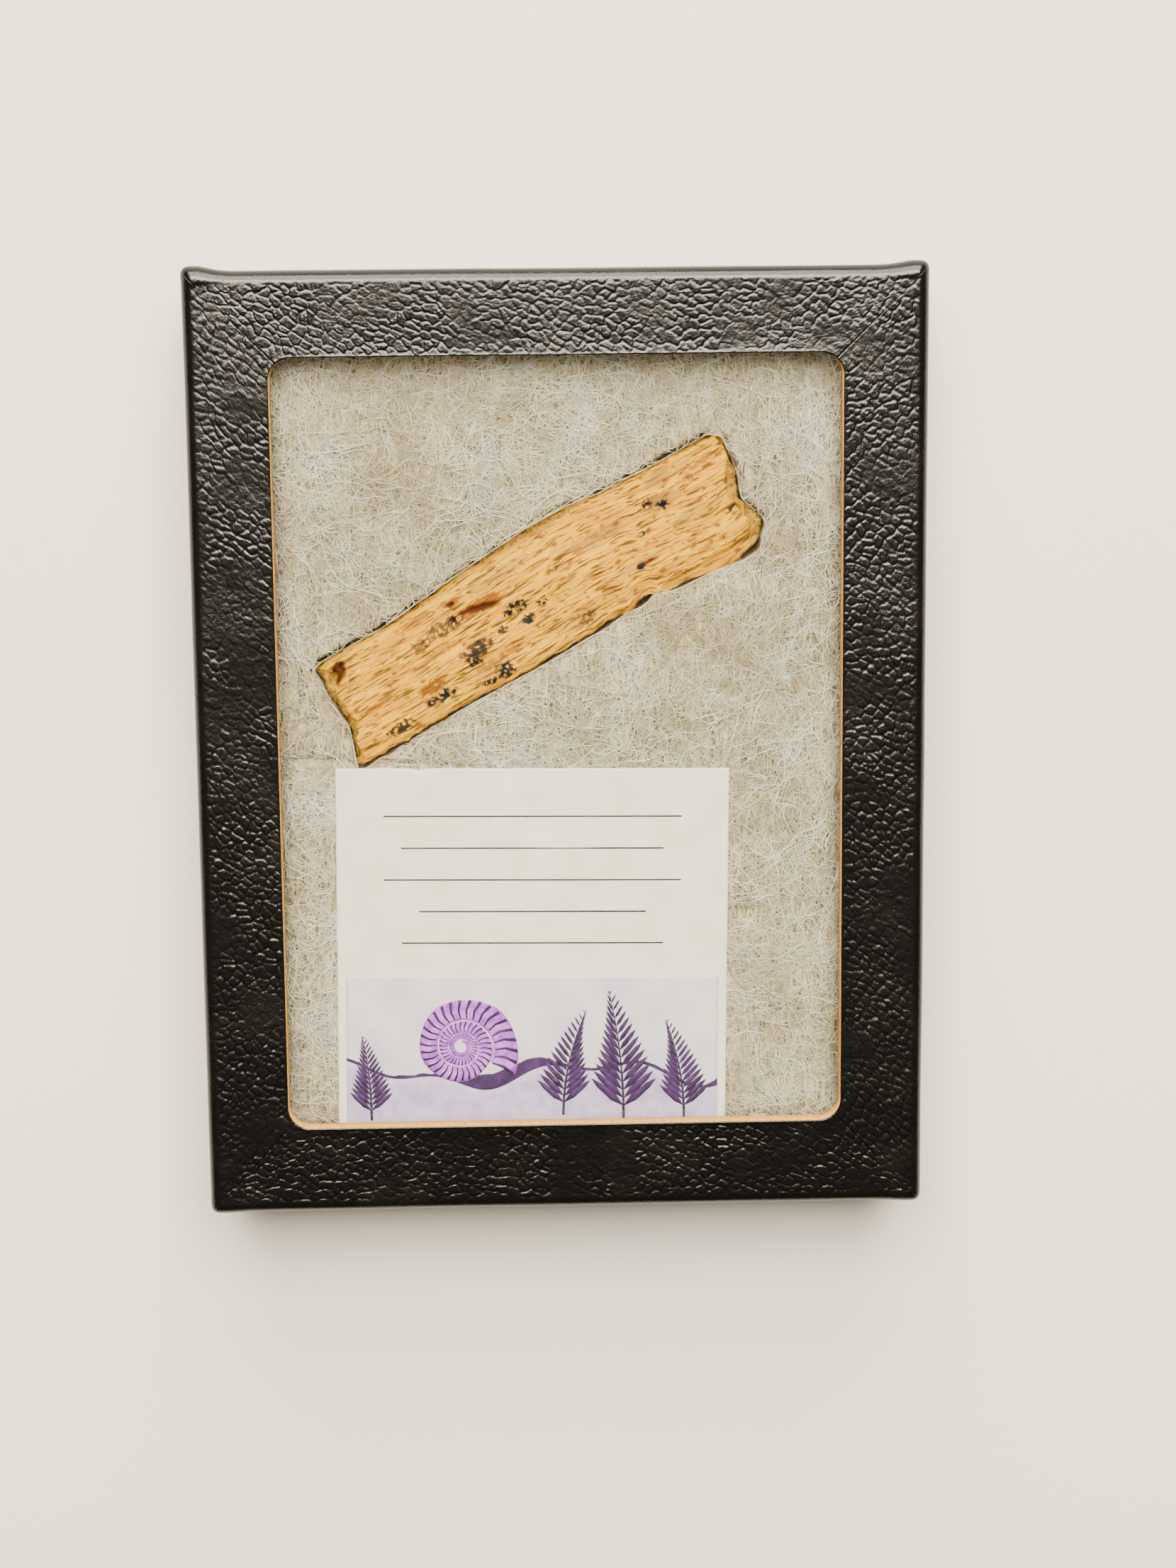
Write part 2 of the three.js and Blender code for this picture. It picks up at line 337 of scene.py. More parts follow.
def prisms(outlines: Array, low: float, high: float) -> tuple[Array, list[Array]]:
    """Raise many flat outlines with the same number of corners into thin closed plates.

    Args:
        outlines: plates by corners by two coordinates, each outline anticlockwise and convex.
        low: height of the undersides.
        high: height of the upper faces.

    Returns:
        The points, and the faces.
    """
    count, corners = outlines.shape[:2]
    lower = np.concatenate([outlines, np.full((count, corners, 1), low)], axis=-1)
    upper = np.concatenate([outlines, np.full((count, corners, 1), high)], axis=-1)
    points = np.concatenate([lower, upper], axis=1).reshape(-1, 3)
    start = (np.arange(count) * 2 * corners)[:, None]
    ring = np.arange(corners)[None, :]
    after = np.roll(ring, -1, axis=1)
    walls = np.stack([start + ring, start + after, start + after + corners, start + ring + corners], axis=-1)
    return points, [walls.reshape(-1, 4), (start + ring)[:, ::-1], start + ring + corners]


def outline(width: float, length: float, corner: float, centre: tuple[float, float],
            steps: tuple[int, int, int]) -> tuple[Array, Array]:
    """Walk anticlockwise round a rectangle with round corners.

    Args:
        width: its size along X.
        length: its size along Y.
        corner: the radius of its corners.
        centre: its middle.
        steps: how many steps each side along Y, each side along X and each corner takes.

    Returns:
        The points, from the foot of the right side, and the outward directions there. A corner's
        points are its centre plus the radius times the direction.
    """
    up, over, bend = steps
    half = np.array([width / 2 - corner, length / 2 - corner])
    spots, ways = [], []
    for quarter, (sign_x, sign_y) in enumerate(((1, 1), (-1, 1), (-1, -1), (1, -1))):
        side = up if quarter % 2 == 0 else over
        before = ((1, -1), (1, 1), (-1, 1), (-1, -1))[quarter]
        share = np.linspace(0, 1, side, endpoint=False)[:, None]
        way = np.array([math.cos(quarter * math.pi / 2), math.sin(quarter * math.pi / 2)])
        ends = np.array(before) * half, np.array([sign_x, sign_y]) * half
        spots.append(ends[0] * (1 - share) + ends[1] * share + way * corner)
        ways.append(np.repeat(way[None], side, axis=0))
        angle = (quarter + np.linspace(0, 1, bend, endpoint=False)) * math.pi / 2
        arc = np.stack([np.cos(angle), np.sin(angle)], axis=-1)
        spots.append(ends[1] + corner * arc)
        ways.append(arc)
    return np.concatenate(spots) + np.array(centre), np.concatenate(ways)


# Finishes

def add_node(tree: bpy.types.NodeTree, kind: str, links: dict | None = None, out: int | str = 0,
             **settings) -> bpy.types.NodeSocket | None:
    """Add a shader node with its settings and what goes into it.

    Args:
        tree: the material's nodes.
        kind: the node's type after its "ShaderNode", such as "TexNoise".
        links: for each input by name or number, the output that feeds it, a hex colour or another
            constant. A colour mix has its colours at 6 and 7, after its sockets for numbers and vectors.
        out: the output that is wanted, by name or number. A colour mix has its colour at 2.
        settings: the node's own properties.

    Returns:
        That output, or none from the node that ends the material.
    """
    node = tree.nodes.new("ShaderNode" + kind)
    for name, value in settings.items():
        setattr(node, name, value)
    for socket, value in (links or {}).items():
        if isinstance(value, bpy.types.NodeSocket):
            tree.links.new(value, node.inputs[socket])
        else:
            node.inputs[socket].default_value = linear(value) if isinstance(value, str) else value
    return node.outputs[out] if node.outputs else None


def new_material(name: str) -> tuple[Finish, bpy.types.NodeTree]:
    """Make an empty node material.

    Args:
        name: what the material is.

    Returns:
        The material and its nodes.
    """
    material = bpy.data.materials.new(name)
    material.use_nodes = True
    material.node_tree.nodes.clear()
    return material, material.node_tree


def surface(tree: bpy.types.NodeTree, links: dict) -> None:
    """End a material in a Principled shader with these inputs."""
    add_node(tree, "OutputMaterial", {"Surface": add_node(tree, "BsdfPrincipled", links)})


@dataclass(frozen=True)
class LeatherPaper:
    """Calendered paper embossed with a leather grain: satin crowns, dull creases coloured darker as painted shade,
    greyed by rubbing.
    """

    name: str = "leather_grain_paper"
    crown: str = "#080706"
    # painted shade: the creases' near-black colour stands in for the shade that falls in them
    crease: str = "#010101"
    rubbed: str = "#15130f"
    roughness: float = 0.2
    dull: float = 0.1
    gloss: float = 0.28
    split_mm: float = 0.62
    wrinkle_mm: float = 0.3
    graze_mm: float = 7.0
    bend_mm: float = 0.4
    split_depth_mm: float = 0.016
    wrinkle_depth_mm: float = 0.04

    def material(self) -> Finish:
        """Build it: the mesh's own grain value parts crowns from creases, finer splits cut the crowns
        up in places, creases and splits take a near-black colour as painted shade, and noise rubs them grey.

        Returns:
            The material, for meshes with a "grain" value for each point.
        """
        material, tree = new_material(self.name)
        place = add_node(tree, "TexCoord", out="Object")
        grain = add_node(tree, "Attribute", out="Fac", attribute_name="grain")
        graze = add_node(tree, "TexNoise", {"Vector": place, "Scale": per_mm(self.graze_mm), "Detail": 4.0})
        wrinkle = add_node(tree, "TexNoise",
                           {"Vector": place, "Scale": per_mm(self.wrinkle_mm), "Detail": 3.0})
        bend = add_node(tree, "VectorMath", {0: wrinkle.node.outputs["Color"], 1: (self.bend_mm * MM,) * 3},
                        operation="MULTIPLY")
        bent = add_node(tree, "VectorMath", {0: place, 1: bend}, operation="ADD")
        split = add_node(tree, "TexVoronoi", {"Vector": bent, "Scale": per_mm(self.split_mm)},
                         feature="DISTANCE_TO_EDGE")
        whole = add_node(tree, "MapRange", {"Value": graze, "From Min": 0.38, "From Max": 0.58,
                                            "To Min": 1.0, "To Max": 0.25})
        depth = add_node(tree, "MapRange", {"Value": split, "From Max": 0.16})
        crown = add_node(tree, "Math", {0: depth, 1: whole}, operation="MAXIMUM")
        share = add_node(tree, "Math", {0: grain, 1: crown}, operation="MULTIPLY")
        # painted shade: low grain and the splits mix in the near-black crease colour, standing in for the shade in
        # the creases
        body = add_node(tree, "Mix", {"Factor": share, 6: self.crease, 7: self.crown}, **RGBA)
        patch = add_node(tree, "MapRange", {"Value": graze, "From Min": 0.5, "From Max": 0.75, "To Max": 0.3})
        worn = add_node(tree, "Mix", {"Factor": patch, 6: body, 7: self.rubbed}, **RGBA)
        rough = add_node(tree, "MapRange", {"Value": share, "To Min": self.roughness + self.dull,
                                            "To Max": self.roughness})
        bump = add_node(tree, "Bump", {"Height": crown, "Strength": 0.5,
                                       "Distance": self.split_depth_mm * MM})
        finer = add_node(tree, "Bump", {"Height": wrinkle, "Strength": 0.35,
                                        "Distance": self.wrinkle_depth_mm * MM, "Normal": bump})
        surface(tree, {"Base Color": worn, "Roughness": rough, "Specular IOR Level": self.gloss,
                       "Normal": finer})
        return material


@dataclass(frozen=True)
class LiningPaper:
    """Plain black paper on the tray: matt, with a faint fibre tooth."""

    name: str = "black_lining_paper"
    dark: str = "#0d0b0a"
    pale: str = "#1b1815"
    tooth_mm: float = 0.3

    def material(self) -> Finish:
        """Build it: two blacks mixed by fine noise, with the same noise as its tooth.

        Returns:
            The material.
        """
        material, tree = new_material(self.name)
        place = add_node(tree, "TexCoord", out="Object")
        tooth = add_node(tree, "TexNoise", {"Vector": place, "Scale": per_mm(self.tooth_mm), "Detail": 4.0})
        tone = add_node(tree, "Mix", {"Factor": tooth, 6: self.dark, 7: self.pale}, **RGBA)
        bump = add_node(tree, "Bump", {"Height": tooth, "Strength": 0.4, "Distance": 0.06 * MM})
        surface(tree, {"Base Color": tone, "Roughness": 0.7, "Normal": bump})
        return material


@dataclass(frozen=True)
class CutBoard:
    """Greyboard's tan core, cut with a blade: fibrous, matt, darker where it was pressed."""

    name: str = "raw_board_edge"
    pale: str = "#a8792c"
    dark: str = "#64420f"
    fibre_mm: float = 0.25
    layers: Place = (1.0, 1.0, 3.0)

    def material(self) -> Finish:
        """Build it: two tans mixed by noise pressed flat into layers, with the same noise as its tooth.

        Returns:
            The material.
        """
        material, tree = new_material(self.name)
        place = add_node(tree, "TexCoord", out="Object")
        layers = add_node(tree, "Mapping", {"Vector": place, "Scale": self.layers})
        fibre = add_node(tree, "TexNoise", {"Vector": layers, "Scale": per_mm(self.fibre_mm), "Detail": 4.0})
        share = add_node(tree, "MapRange", {"Value": fibre, "From Min": 0.3, "From Max": 0.7})
        tan = add_node(tree, "Mix", {"Factor": share, 6: self.dark, 7: self.pale}, **RGBA)
        bump = add_node(tree, "Bump", {"Height": fibre, "Strength": 0.6, "Distance": 0.1 * MM})
        surface(tree, {"Base Color": tan, "Roughness": 0.85, "Normal": bump})
        return material


@dataclass(frozen=True)
class WindowGlass:
    """Float glass: colourless, flat and bright at its edges."""

    name: str = "window_glass"
    tint: str = "#fbfdfc"
    ior: float = 1.52

    def material(self) -> Finish:
        """Build it: plain transmission with no roughness.

        Returns:
            The material.
        """
        material, tree = new_material(self.name)
        surface(tree, {"Base Color": self.tint, "Roughness": 0.0, "IOR": self.ior, "Transmission Weight": 1.0})
        return material


@dataclass(frozen=True)
class PolyesterFibre:
    """Spun polyester staple: off-white, round and smooth, so each fibre has a soft line of light."""

    name: str = "polyester_fibre"
    pale: str = "#fffdf2"
    warm: str = "#bcaa80"
    wander_mm: float = 1.6
    cloud_mm: float = 9.0
    cloud: float = 1.6
    roughness: float = 0.3

    def material(self) -> Finish:
        """Build it: each fibre has its own tone between two off-whites, and wanders along its length.

        Returns:
            The material, for meshes with a "tone" value for each point.
        """
        material, tree = new_material(self.name)
        place = add_node(tree, "TexCoord", out="Object")
        own = add_node(tree, "Attribute", out="Fac", attribute_name="tone")
        wander = add_node(tree, "TexNoise", {"Vector": place, "Scale": per_mm(self.wander_mm)})
        cloud = add_node(tree, "TexNoise", {"Vector": place, "Scale": per_mm(self.cloud_mm)})
        both = add_node(tree, "Math", {0: own, 1: wander}, operation="ADD")
        total = add_node(tree, "Math", {0: cloud, 1: self.cloud, 2: both}, operation="MULTIPLY_ADD")
        tone = add_node(tree, "MapRange", {"Value": total, "From Min": 1.2, "From Max": 2.2})
        white = add_node(tree, "Mix", {"Factor": tone, 6: self.warm, 7: self.pale}, **RGBA)
        surface(tree, {"Base Color": white, "Roughness": self.roughness})
        return material


@dataclass(frozen=True)
class FibreMass:
    """The depth of the batting between its top fibres: matt, shaded, streaked by crossing fibres."""

    name: str = "fibre_mass"
    pale: str = "#d6c7a2"
    shade: str = "#77674a"
    strand_mm: float = 0.45
    crossings: tuple[float, float] = (0.5, 2.1)
    stretch: float = 0.15

    def material(self) -> Finish:
        """Build it: two fine noises drawn out across each other, as colour and as tooth.

        Returns:
            The material.
        """
        material, tree = new_material(self.name)
        place = add_node(tree, "TexCoord", out="Object")
        strands = []
        for angle in self.crossings:
            way = add_node(tree, "Mapping", {"Vector": place, "Rotation": (0.0, 0.0, angle),
                                             "Scale": (1.0, self.stretch, 1.0)})
            strands.append(add_node(tree, "TexNoise", {"Vector": way, "Scale": per_mm(self.strand_mm),
                                                       "Detail": 3.0, "Distortion": 1.5}))
        both = add_node(tree, "Math", dict(enumerate(strands)), operation="MAXIMUM")
        share = add_node(tree, "MapRange", {"Value": both, "From Min": 0.44, "From Max": 0.64})
        tone = add_node(tree, "Mix", {"Factor": share, 6: self.shade, 7: self.pale}, **RGBA)
        bump = add_node(tree, "Bump", {"Height": both, "Strength": 0.7, "Distance": 0.3 * MM})
        surface(tree, {"Base Color": tone, "Roughness": 0.9, "Normal": bump})
        return material


@dataclass(frozen=True)
class FossilBone:
    """Mineralised bone: ochre along its grain, with iron rust in its pores and black manganese crusts."""

    name: str = "fossil_bone"
    cream: str = "#e4b000"
    ochre: str = "#d28a00"
    brown: str = "#925a00"
    rust: str = "#7c4200"
    crust: str = "#0b0d12"
    mauve: str = "#8c6c34"
    sand: str = "#d8ae48"
    crumb: str = "#9a6c1e"
    pore: str = "#4c1e00"
    line: str = "#5a3804"
    streak_mm: float = 0.5
    hair_mm: float = 0.2
    band_mm: float = 2.6
    crumb_mm: float = 0.4
    stretch: float = 0.075

    def material(self) -> Finish:
        """Build it: streaks drawn out along the bone, then the stains that the mesh's values place.

        Returns:
            The material, for a mesh whose "pattern" map runs along and round the bone in metres and
            whose values rust, crust, mauve, pore and core say how strong each stain is.
        """
        material, tree = new_material(self.name)
        chart = add_node(tree, "UVMap", uv_map="pattern")
        place = add_node(tree, "TexCoord", out="Object")
        lay = add_node(tree, "Mapping", {"Vector": chart, "Scale": (self.stretch, 1.0, 1.0)})
        streak = add_node(tree, "TexNoise", {"Vector": lay, "Scale": per_mm(self.streak_mm), "Detail": 5.0,
                                             "Distortion": 0.4})
        hair = add_node(tree, "TexNoise", {"Vector": lay, "Scale": per_mm(self.hair_mm), "Detail": 2.0,
                                           "Distortion": 0.8})
        broad = add_node(tree, "TexNoise", {"Vector": lay, "Scale": per_mm(self.band_mm), "Detail": 2.0})
        crumb = add_node(tree, "TexNoise", {"Vector": place, "Scale": per_mm(self.crumb_mm), "Detail": 4.0})
        tone = add_node(tree, "MapRange", {"Value": streak, "From Min": 0.34, "From Max": 0.66})
        band = add_node(tree, "MapRange", {"Value": broad, "From Min": 0.55, "From Max": 0.8, "To Max": 0.55})
        line = add_node(tree, "MapRange", {"Value": hair, "From Min": 0.49, "From Max": 0.38, "To Max": 0.95})
        grit = add_node(tree, "MapRange", {"Value": crumb, "From Min": 0.4, "From Max": 0.56})
        sand = add_node(tree, "Mix", {"Factor": grit, 6: self.crumb, 7: self.sand}, **RGBA)
        colour = self.ochre
        for amount, over in ((tone, self.cream), (band, self.brown), (line, self.line)):
            colour = add_node(tree, "Mix", {"Factor": amount, 6: colour, 7: over}, **RGBA)
        for value, over in (("core", sand), ("mauve", self.mauve), ("rust", self.rust),
                            ("pore", self.pore), ("crust", self.crust)):
            amount = add_node(tree, "Attribute", out="Fac", attribute_name=value)
            colour = add_node(tree, "Mix", {"Factor": amount, 6: colour, 7: over}, **RGBA)
        broken = add_node(tree, "Attribute", out="Fac", attribute_name="core")
        crumbs = add_node(tree, "Math", {0: crumb, 1: broken}, operation="MULTIPLY")
        bump = add_node(tree, "Bump", {"Height": streak, "Strength": 0.7, "Distance": 0.2 * MM})
        finer = add_node(tree, "Bump", {"Height": hair, "Strength": 0.7, "Distance": 0.12 * MM,
                                        "Normal": bump})
        rough = add_node(tree, "Bump", {"Height": crumbs, "Strength": 1.0, "Distance": 0.4 * MM,
                                        "Normal": finer})
        surface(tree, {"Base Color": colour, "Roughness": 0.7, "Specular IOR Level": 0.2, "Normal": rough})
        return material


@dataclass(frozen=True)
class Print:
    """Ink on uncoated card: matt, with the card's tooth and a slight unevenness of tone."""

    name: str
    dark: str
    pale: str
    patch_mm: float = 3.0
    tooth_mm: float = 0.15
    roughness: float = 0.8

    def material(self) -> Finish:
        """Build it: two tones mixed by soft noise, with a fine tooth.

        Returns:
            The material.
        """
        material, tree = new_material(self.name)
        place = add_node(tree, "TexCoord", out="Object")
        patch = add_node(tree, "TexNoise", {"Vector": place, "Scale": per_mm(self.patch_mm), "Detail": 5.0})
        tooth = add_node(tree, "TexNoise", {"Vector": place, "Scale": per_mm(self.tooth_mm)})
        share = add_node(tree, "MapRange", {"Value": patch, "From Min": 0.35, "From Max": 0.65})
        tone = add_node(tree, "Mix", {"Factor": share, 6: self.dark, 7: self.pale}, **RGBA)
        bump = add_node(tree, "Bump", {"Height": tooth, "Strength": 0.25, "Distance": 0.03 * MM})
        surface(tree, {"Base Color": tone, "Roughness": self.roughness, "Normal": bump})
        return material


@dataclass(frozen=True)
class PinSteel:
    """Nickel-plated steel wire: bright, with fine drawing marks."""

    name: str = "pin_steel"
    tint: str = "#cfcfd2"
    marks_mm: float = 0.4

    def material(self) -> Finish:
        """Build it: a metal whose roughness wanders a little.

        Returns:
            The material.
        """
        material, tree = new_material(self.name)
        place = add_node(tree, "TexCoord", out="Object")
        marks = add_node(tree, "TexNoise", {"Vector": place, "Scale": per_mm(self.marks_mm)})
        rough = add_node(tree, "MapRange", {"Value": marks, "To Min": 0.15, "To Max": 0.4})
        surface(tree, {"Base Color": self.tint, "Metallic": 1.0, "Roughness": rough})
        return material


class Ink(Enum):
    """The printed tones of the label card."""

    STOCK = Print("card_stock", "#f5efda", "#fffbec", 4.0)
    SKY = Print("panel_sky", "#dcd2e2", "#eee8ec", 5.0)
    MIST = Print("panel_mist", "#c8bad8", "#b3a0cb", 1.6)
    SHELL = Print("panel_shell", "#8a3cb4", "#c87adf", 0.9)
    LINE = Print("panel_line", "#240d30", "#401d55", 0.7)
    RULE = Print("ruled_line", "#1c1815", "#3a342e", 0.6)


# Pieces

@dataclass
class Box:
    """The sizes that the box's pieces share, in millimetres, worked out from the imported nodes."""

    lid_low: Array = field(default_factory=lambda: np.array(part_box("lid")[0]) / MM)
    lid_high: Array = field(default_factory=lambda: np.array(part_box("lid")[1]) / MM)
    plan_corner: float = 1.9
    edge_round: float = 1.6
    board: float = 1.3
    wall: float = 1.5
    window: tuple[float, float] = (63.2, 87.5)
    window_centre: tuple[float, float] = (-0.1, 0.5)
    window_corner: float = 2.4
    lip: tuple[float, float, float] = (0.17, 0.0, -0.13)
    squareness: float = 5.0

    def lips(self, ways: Array) -> Array:
        """Say how far the paper stands back from the window's cut edge.

        Args:
            ways: outward directions round the window.

        Returns:
            One width for each direction: least along the top of the display, most along its foot.
        """
        return (self.lip[0] + ways @ np.array(self.lip[1:]))[:, None]

    def squared(self, ways: Array) -> Array:
        """Stretch directions so that an edge swept by them has nearly square corners.

        Args:
            ways: unit directions.

        Returns:
            The signed power two over squareness of each part: a square-shouldered oval.
        """
        return np.sign(ways) * np.abs(ways) ** (2 / self.squareness)

    @property
    def width(self) -> float:
        """The lid's size along X."""
        return float(self.lid_high[0] - self.lid_low[0])

    @property
    def length(self) -> float:
        """The lid's size along Y."""
        return float(self.lid_high[1] - self.lid_low[1])

    @property
    def top(self) -> float:
        """The height of the lid's top face."""
        return float(self.lid_high[2])


@dataclass
class LidCover:
    """The black leather-grain paper that wraps the lid's board."""

    box: Box
    steps: tuple[int, int, int] = (400, 300, 14)
    fine_steps: tuple[int, int, int] = (600, 460, 20)
    pebble_mm: float = 1.02
    crease: float = 0.2
    relief: float = 0.125
    paper: float = 0.36
    lay: float = 35.0
    stretch: tuple[float, float] = (0.8, 1.15)
    turn_in: float = 8.0
    bend: float = 0.4
    bend_mm: float = 1.5
    sag: float = 0.05
    sag_mm: float = 14.0
    fold_fade: float = 5.0
    ears: tuple[float, float, float, float] = (0.5, 0.65, 0.15, 0.15)
    ear_reach: float = 2.4
    seed: int = 11

    def grain(self, places: Array) -> Array:
        """Give the grain's height from 0 in its creases to 1.

        Args:
            places: places on the unfolded paper, in millimetres.

        Returns:
            Flat cells about a pebble wide, drawn out along the grain's lay and bent by slow noise, with
            cells of half the size cut into them. In smoother patches the creases are shallow.
        """
        bent = places + self.bend * pack(fractal(places / self.bend_mm, self.seed, 3),
                                         fractal(places / self.bend_mm, self.seed + 5, 3))
        laid = turned(bent, self.lay) * np.array(self.stretch)
        gap, tone = cracked(laid / self.pebble_mm, self.seed)
        fine_gap, fine_tone = cracked(laid / (0.52 * self.pebble_mm), self.seed + 20)
        calm = smooth(fractal(places / 5.0, self.seed + 9, 2), -0.1, 0.45)
        coarse = 1 - (1 - smooth(gap, 0.0, self.crease)) * (1 - 0.75 * calm)
        fine = smooth(fine_gap, 0.0, self.crease)
        return coarse * (0.7 + 0.3 * tone) * (0.76 + 0.24 * fine * fine_tone)

    def fold_out(self, spots: Array, ways: Array) -> Array:
        """Say how far the folded laps of paper stand out at the ends of the top and bottom sides.

        Args:
            spots: places on the lid's plan outline.
            ways: the outward directions there.

        Returns:
            For each place, a bell of height ear and half width ear_reach about its corner, on the
            sides that face along Y alone.
        """
        out = np.zeros(len(spots))
        half = np.array([self.box.width, self.box.length]) / 2
        for (sign_x, sign_y), ear in zip(((1, 1), (-1, 1), (-1, -1), (1, -1)), self.ears):
            away = np.hypot(spots[:, 0] - sign_x * (half[0] - 1.2), 1.5 * (spots[:, 1] - sign_y * half[1]))
            out += ear * np.exp(-(away / self.ear_reach) ** 2) * np.clip(ways[:, 1] * sign_y, 0, 1)
        return out

    def rows(self) -> tuple[list[tuple[float, float, float]], list[tuple[float, float, float]]]:
        """List the outer surface's rows as (share from window to edge, turn of the edge, drop).

        Returns:
            The rows of the top with its rounded edge, and those of the sides.
        """
        flat = [(share, 0.0, 0.0) for share in np.linspace(0, 1, 74)]
        edge = [(1.0, turn, 0.0) for turn in np.linspace(0, math.pi / 2, 14)[1:]]
        side_height = self.box.top - self.box.edge_round - self.box.lid_low[2] - 0.3
        side = [(1.0, math.pi / 2, drop) for drop in np.linspace(0, side_height, 46)]
        return flat + edge, side

    def skin(self, rows: list[tuple[float, float, float]], inset: float, embossed: bool) -> tuple[Array, Array]:
        """Work out rows of points on the cover.

        Args:
            rows: (share, turn, drop) for each row.
            inset: how far below the outer surface they lie.
            embossed: whether the grain is pressed into them.

        Returns:
            The points, rows by steps by three, and the grain's height at each. A row lies between the
            window's outline and the edge's, then swings over the edge on a quarter circle, then drops.
        """
        box = self.box
        steps = self.steps if any(row[2] for row in rows) else self.fine_steps
        inner, ways = outline(*box.window, box.window_corner, box.window_centre, steps)
        inner = inner + ways * box.lips(ways)
        rim = (box.width - 2 * box.edge_round, box.length - 2 * box.edge_round)
        outer, ways = outline(*rim, box.plan_corner - box.edge_round, (0.0, 0.0), steps)
        out = self.fold_out(outer + ways * box.edge_round, ways)
        share, turn, drop = (np.array(column)[:, None, None] for column in zip(*rows))
        flat = inner * (1 - share) + outer * share
        reach = box.edge_round * np.sin(turn)
        plan = flat + box.squared(ways) * reach
        height = box.top - box.edge_round * (1 - np.cos(turn)) - drop
        unfolded = flat + box.squared(ways) * (box.edge_round * turn + drop)
        normal = np.concatenate([ways * np.sin(turn), np.repeat(np.cos(turn), len(ways), axis=1)], axis=-1)
        points = np.concatenate([plan, np.broadcast_to(height, (*plan.shape[:2], 1))], axis=-1)
        grain = self.grain(unfolded) if embossed else np.ones(plan.shape[:2])
        stretched = 0.85 * smooth(turn[..., 0], 0.0, 0.4) - 0.7 * smooth(drop[..., 0], 0.5, 4.0)
        grain = 1 - (1 - grain) * (1 - stretched) * (1 - 0.8 * smooth(share[..., 0], 0.05, 0.0))
        lifted = out[None, :] * np.sin(turn[..., 0]) * np.exp(-((drop[..., 0] - 1.0) / self.fold_fade) ** 2)
        slack = self.sag * (fractal(unfolded / self.sag_mm, self.seed + 30, 2) - 1)
        level = -inset - self.relief * (1 - grain) + lifted + slack * smooth(share[..., 0], 0, 0.2)
        return points + normal * level[..., None], grain

    def sheet(self, name: str, outer: tuple[Array, Array], inner: Array, finish: Finish,
              part: slice | None = None) -> Piece:
        """Close an outer skin and an inner one into a sheet of paper.

        Args:
            name: the piece's name.
            outer: the outer skin's points and grain.
            inner: the inner skin's points, its rows running on from the outer's.
            finish: the leather-grain paper.
            part: the columns that one strip of the sheet takes, or none for the whole ring.

        Returns:
            The piece, which stands for the lid with the others. A strip's two ends have one face each.
        """
        points = np.concatenate([outer[0], inner])
        grain = np.concatenate([outer[1], np.ones(inner.shape[:2])])
        ends = []
        if part is not None:
            columns = range(part.start, part.stop)
            points, grain = (values.take(columns, axis=1, mode="wrap") for values in (points, grain))
            end = np.arange(len(points))[None, :] * len(columns)
            ends = [end, end[:, ::-1] + len(columns) - 1]
        faces = [grid_faces(*points.shape[:2], close_rows=True, close_columns=part is None), *ends]
        piece = build(name, points, faces, finish, {"grain": grain})
        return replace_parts(piece, "lid")

    def make(self, finish: Finish) -> list[Piece]:
        """Build the top of the cover as four mitred strips, and its sides, each a thin closed sheet.

        Args:
            finish: the leather-grain paper.

        Returns:
            The pieces. Their unseen inner skins take every eighth or ninth row.
        """
        top_rows, side_rows = self.rows()
        outer = self.skin(top_rows, 0.0, True)
        inner, _ = self.skin(top_rows[::-8], self.paper, False)
        up, over, bend = self.fine_steps
        pieces, start = [], -(bend // 2)
        for name, side in (("right", up), ("back", over), ("left", up), ("front", over)):
            stop = start + side + bend
            pieces.append(self.sheet(f"lid_cover_{name}", outer, inner, finish, slice(start, stop + 1)))
            start = stop
        outer, grain = self.skin(side_rows, 0.0, True)
        hem = self.hem(outer[-1])
        back, _ = self.skin(side_rows[::-9], self.paper, False)
        skin = np.concatenate([outer, hem]), np.concatenate([grain, np.full(hem.shape[:2], 0.8)])
        return [*pieces, self.sheet("lid_cover_sides", skin, back, finish)]

    def hem(self, last: Array) -> Array:
        """Turn the paper in under the lid's lower edge and up its inner wall.

        Args:
            last: the lowest row of the sides' outer skin.

        Returns:
            Rows that run round the board's foot on a half circle, up inside and back on the board.
        """
        box = self.box
        _, ways = outline(box.width, box.length, box.plan_corner, (0.0, 0.0), self.steps)
        centre = last.copy()
        half = box.wall / 2
        centre[:, :2] -= ways * half
        rows = []
        for turn in np.linspace(0.2, math.pi, 8):
            row = centre.copy()
            row[:, :2] += ways * half * math.cos(turn)
            row[:, 2] -= 0.3 * math.sin(turn)
            rows.append(row)
        for rise in (2.0, self.turn_in):
            row = rows[7].copy()
            row[:, 2] += rise
            rows.append(row)
        for rise in (self.turn_in, 0.2):
            row = rows[7].copy()
            row[:, :2] += ways * self.paper
            row[:, 2] = last[:, 2] + rise
            rows.append(row)
        row = rows[-1].copy()
        row[:, :2] += ways * (box.wall - 2 * self.paper)
        rows.append(row)
        return np.array(rows)


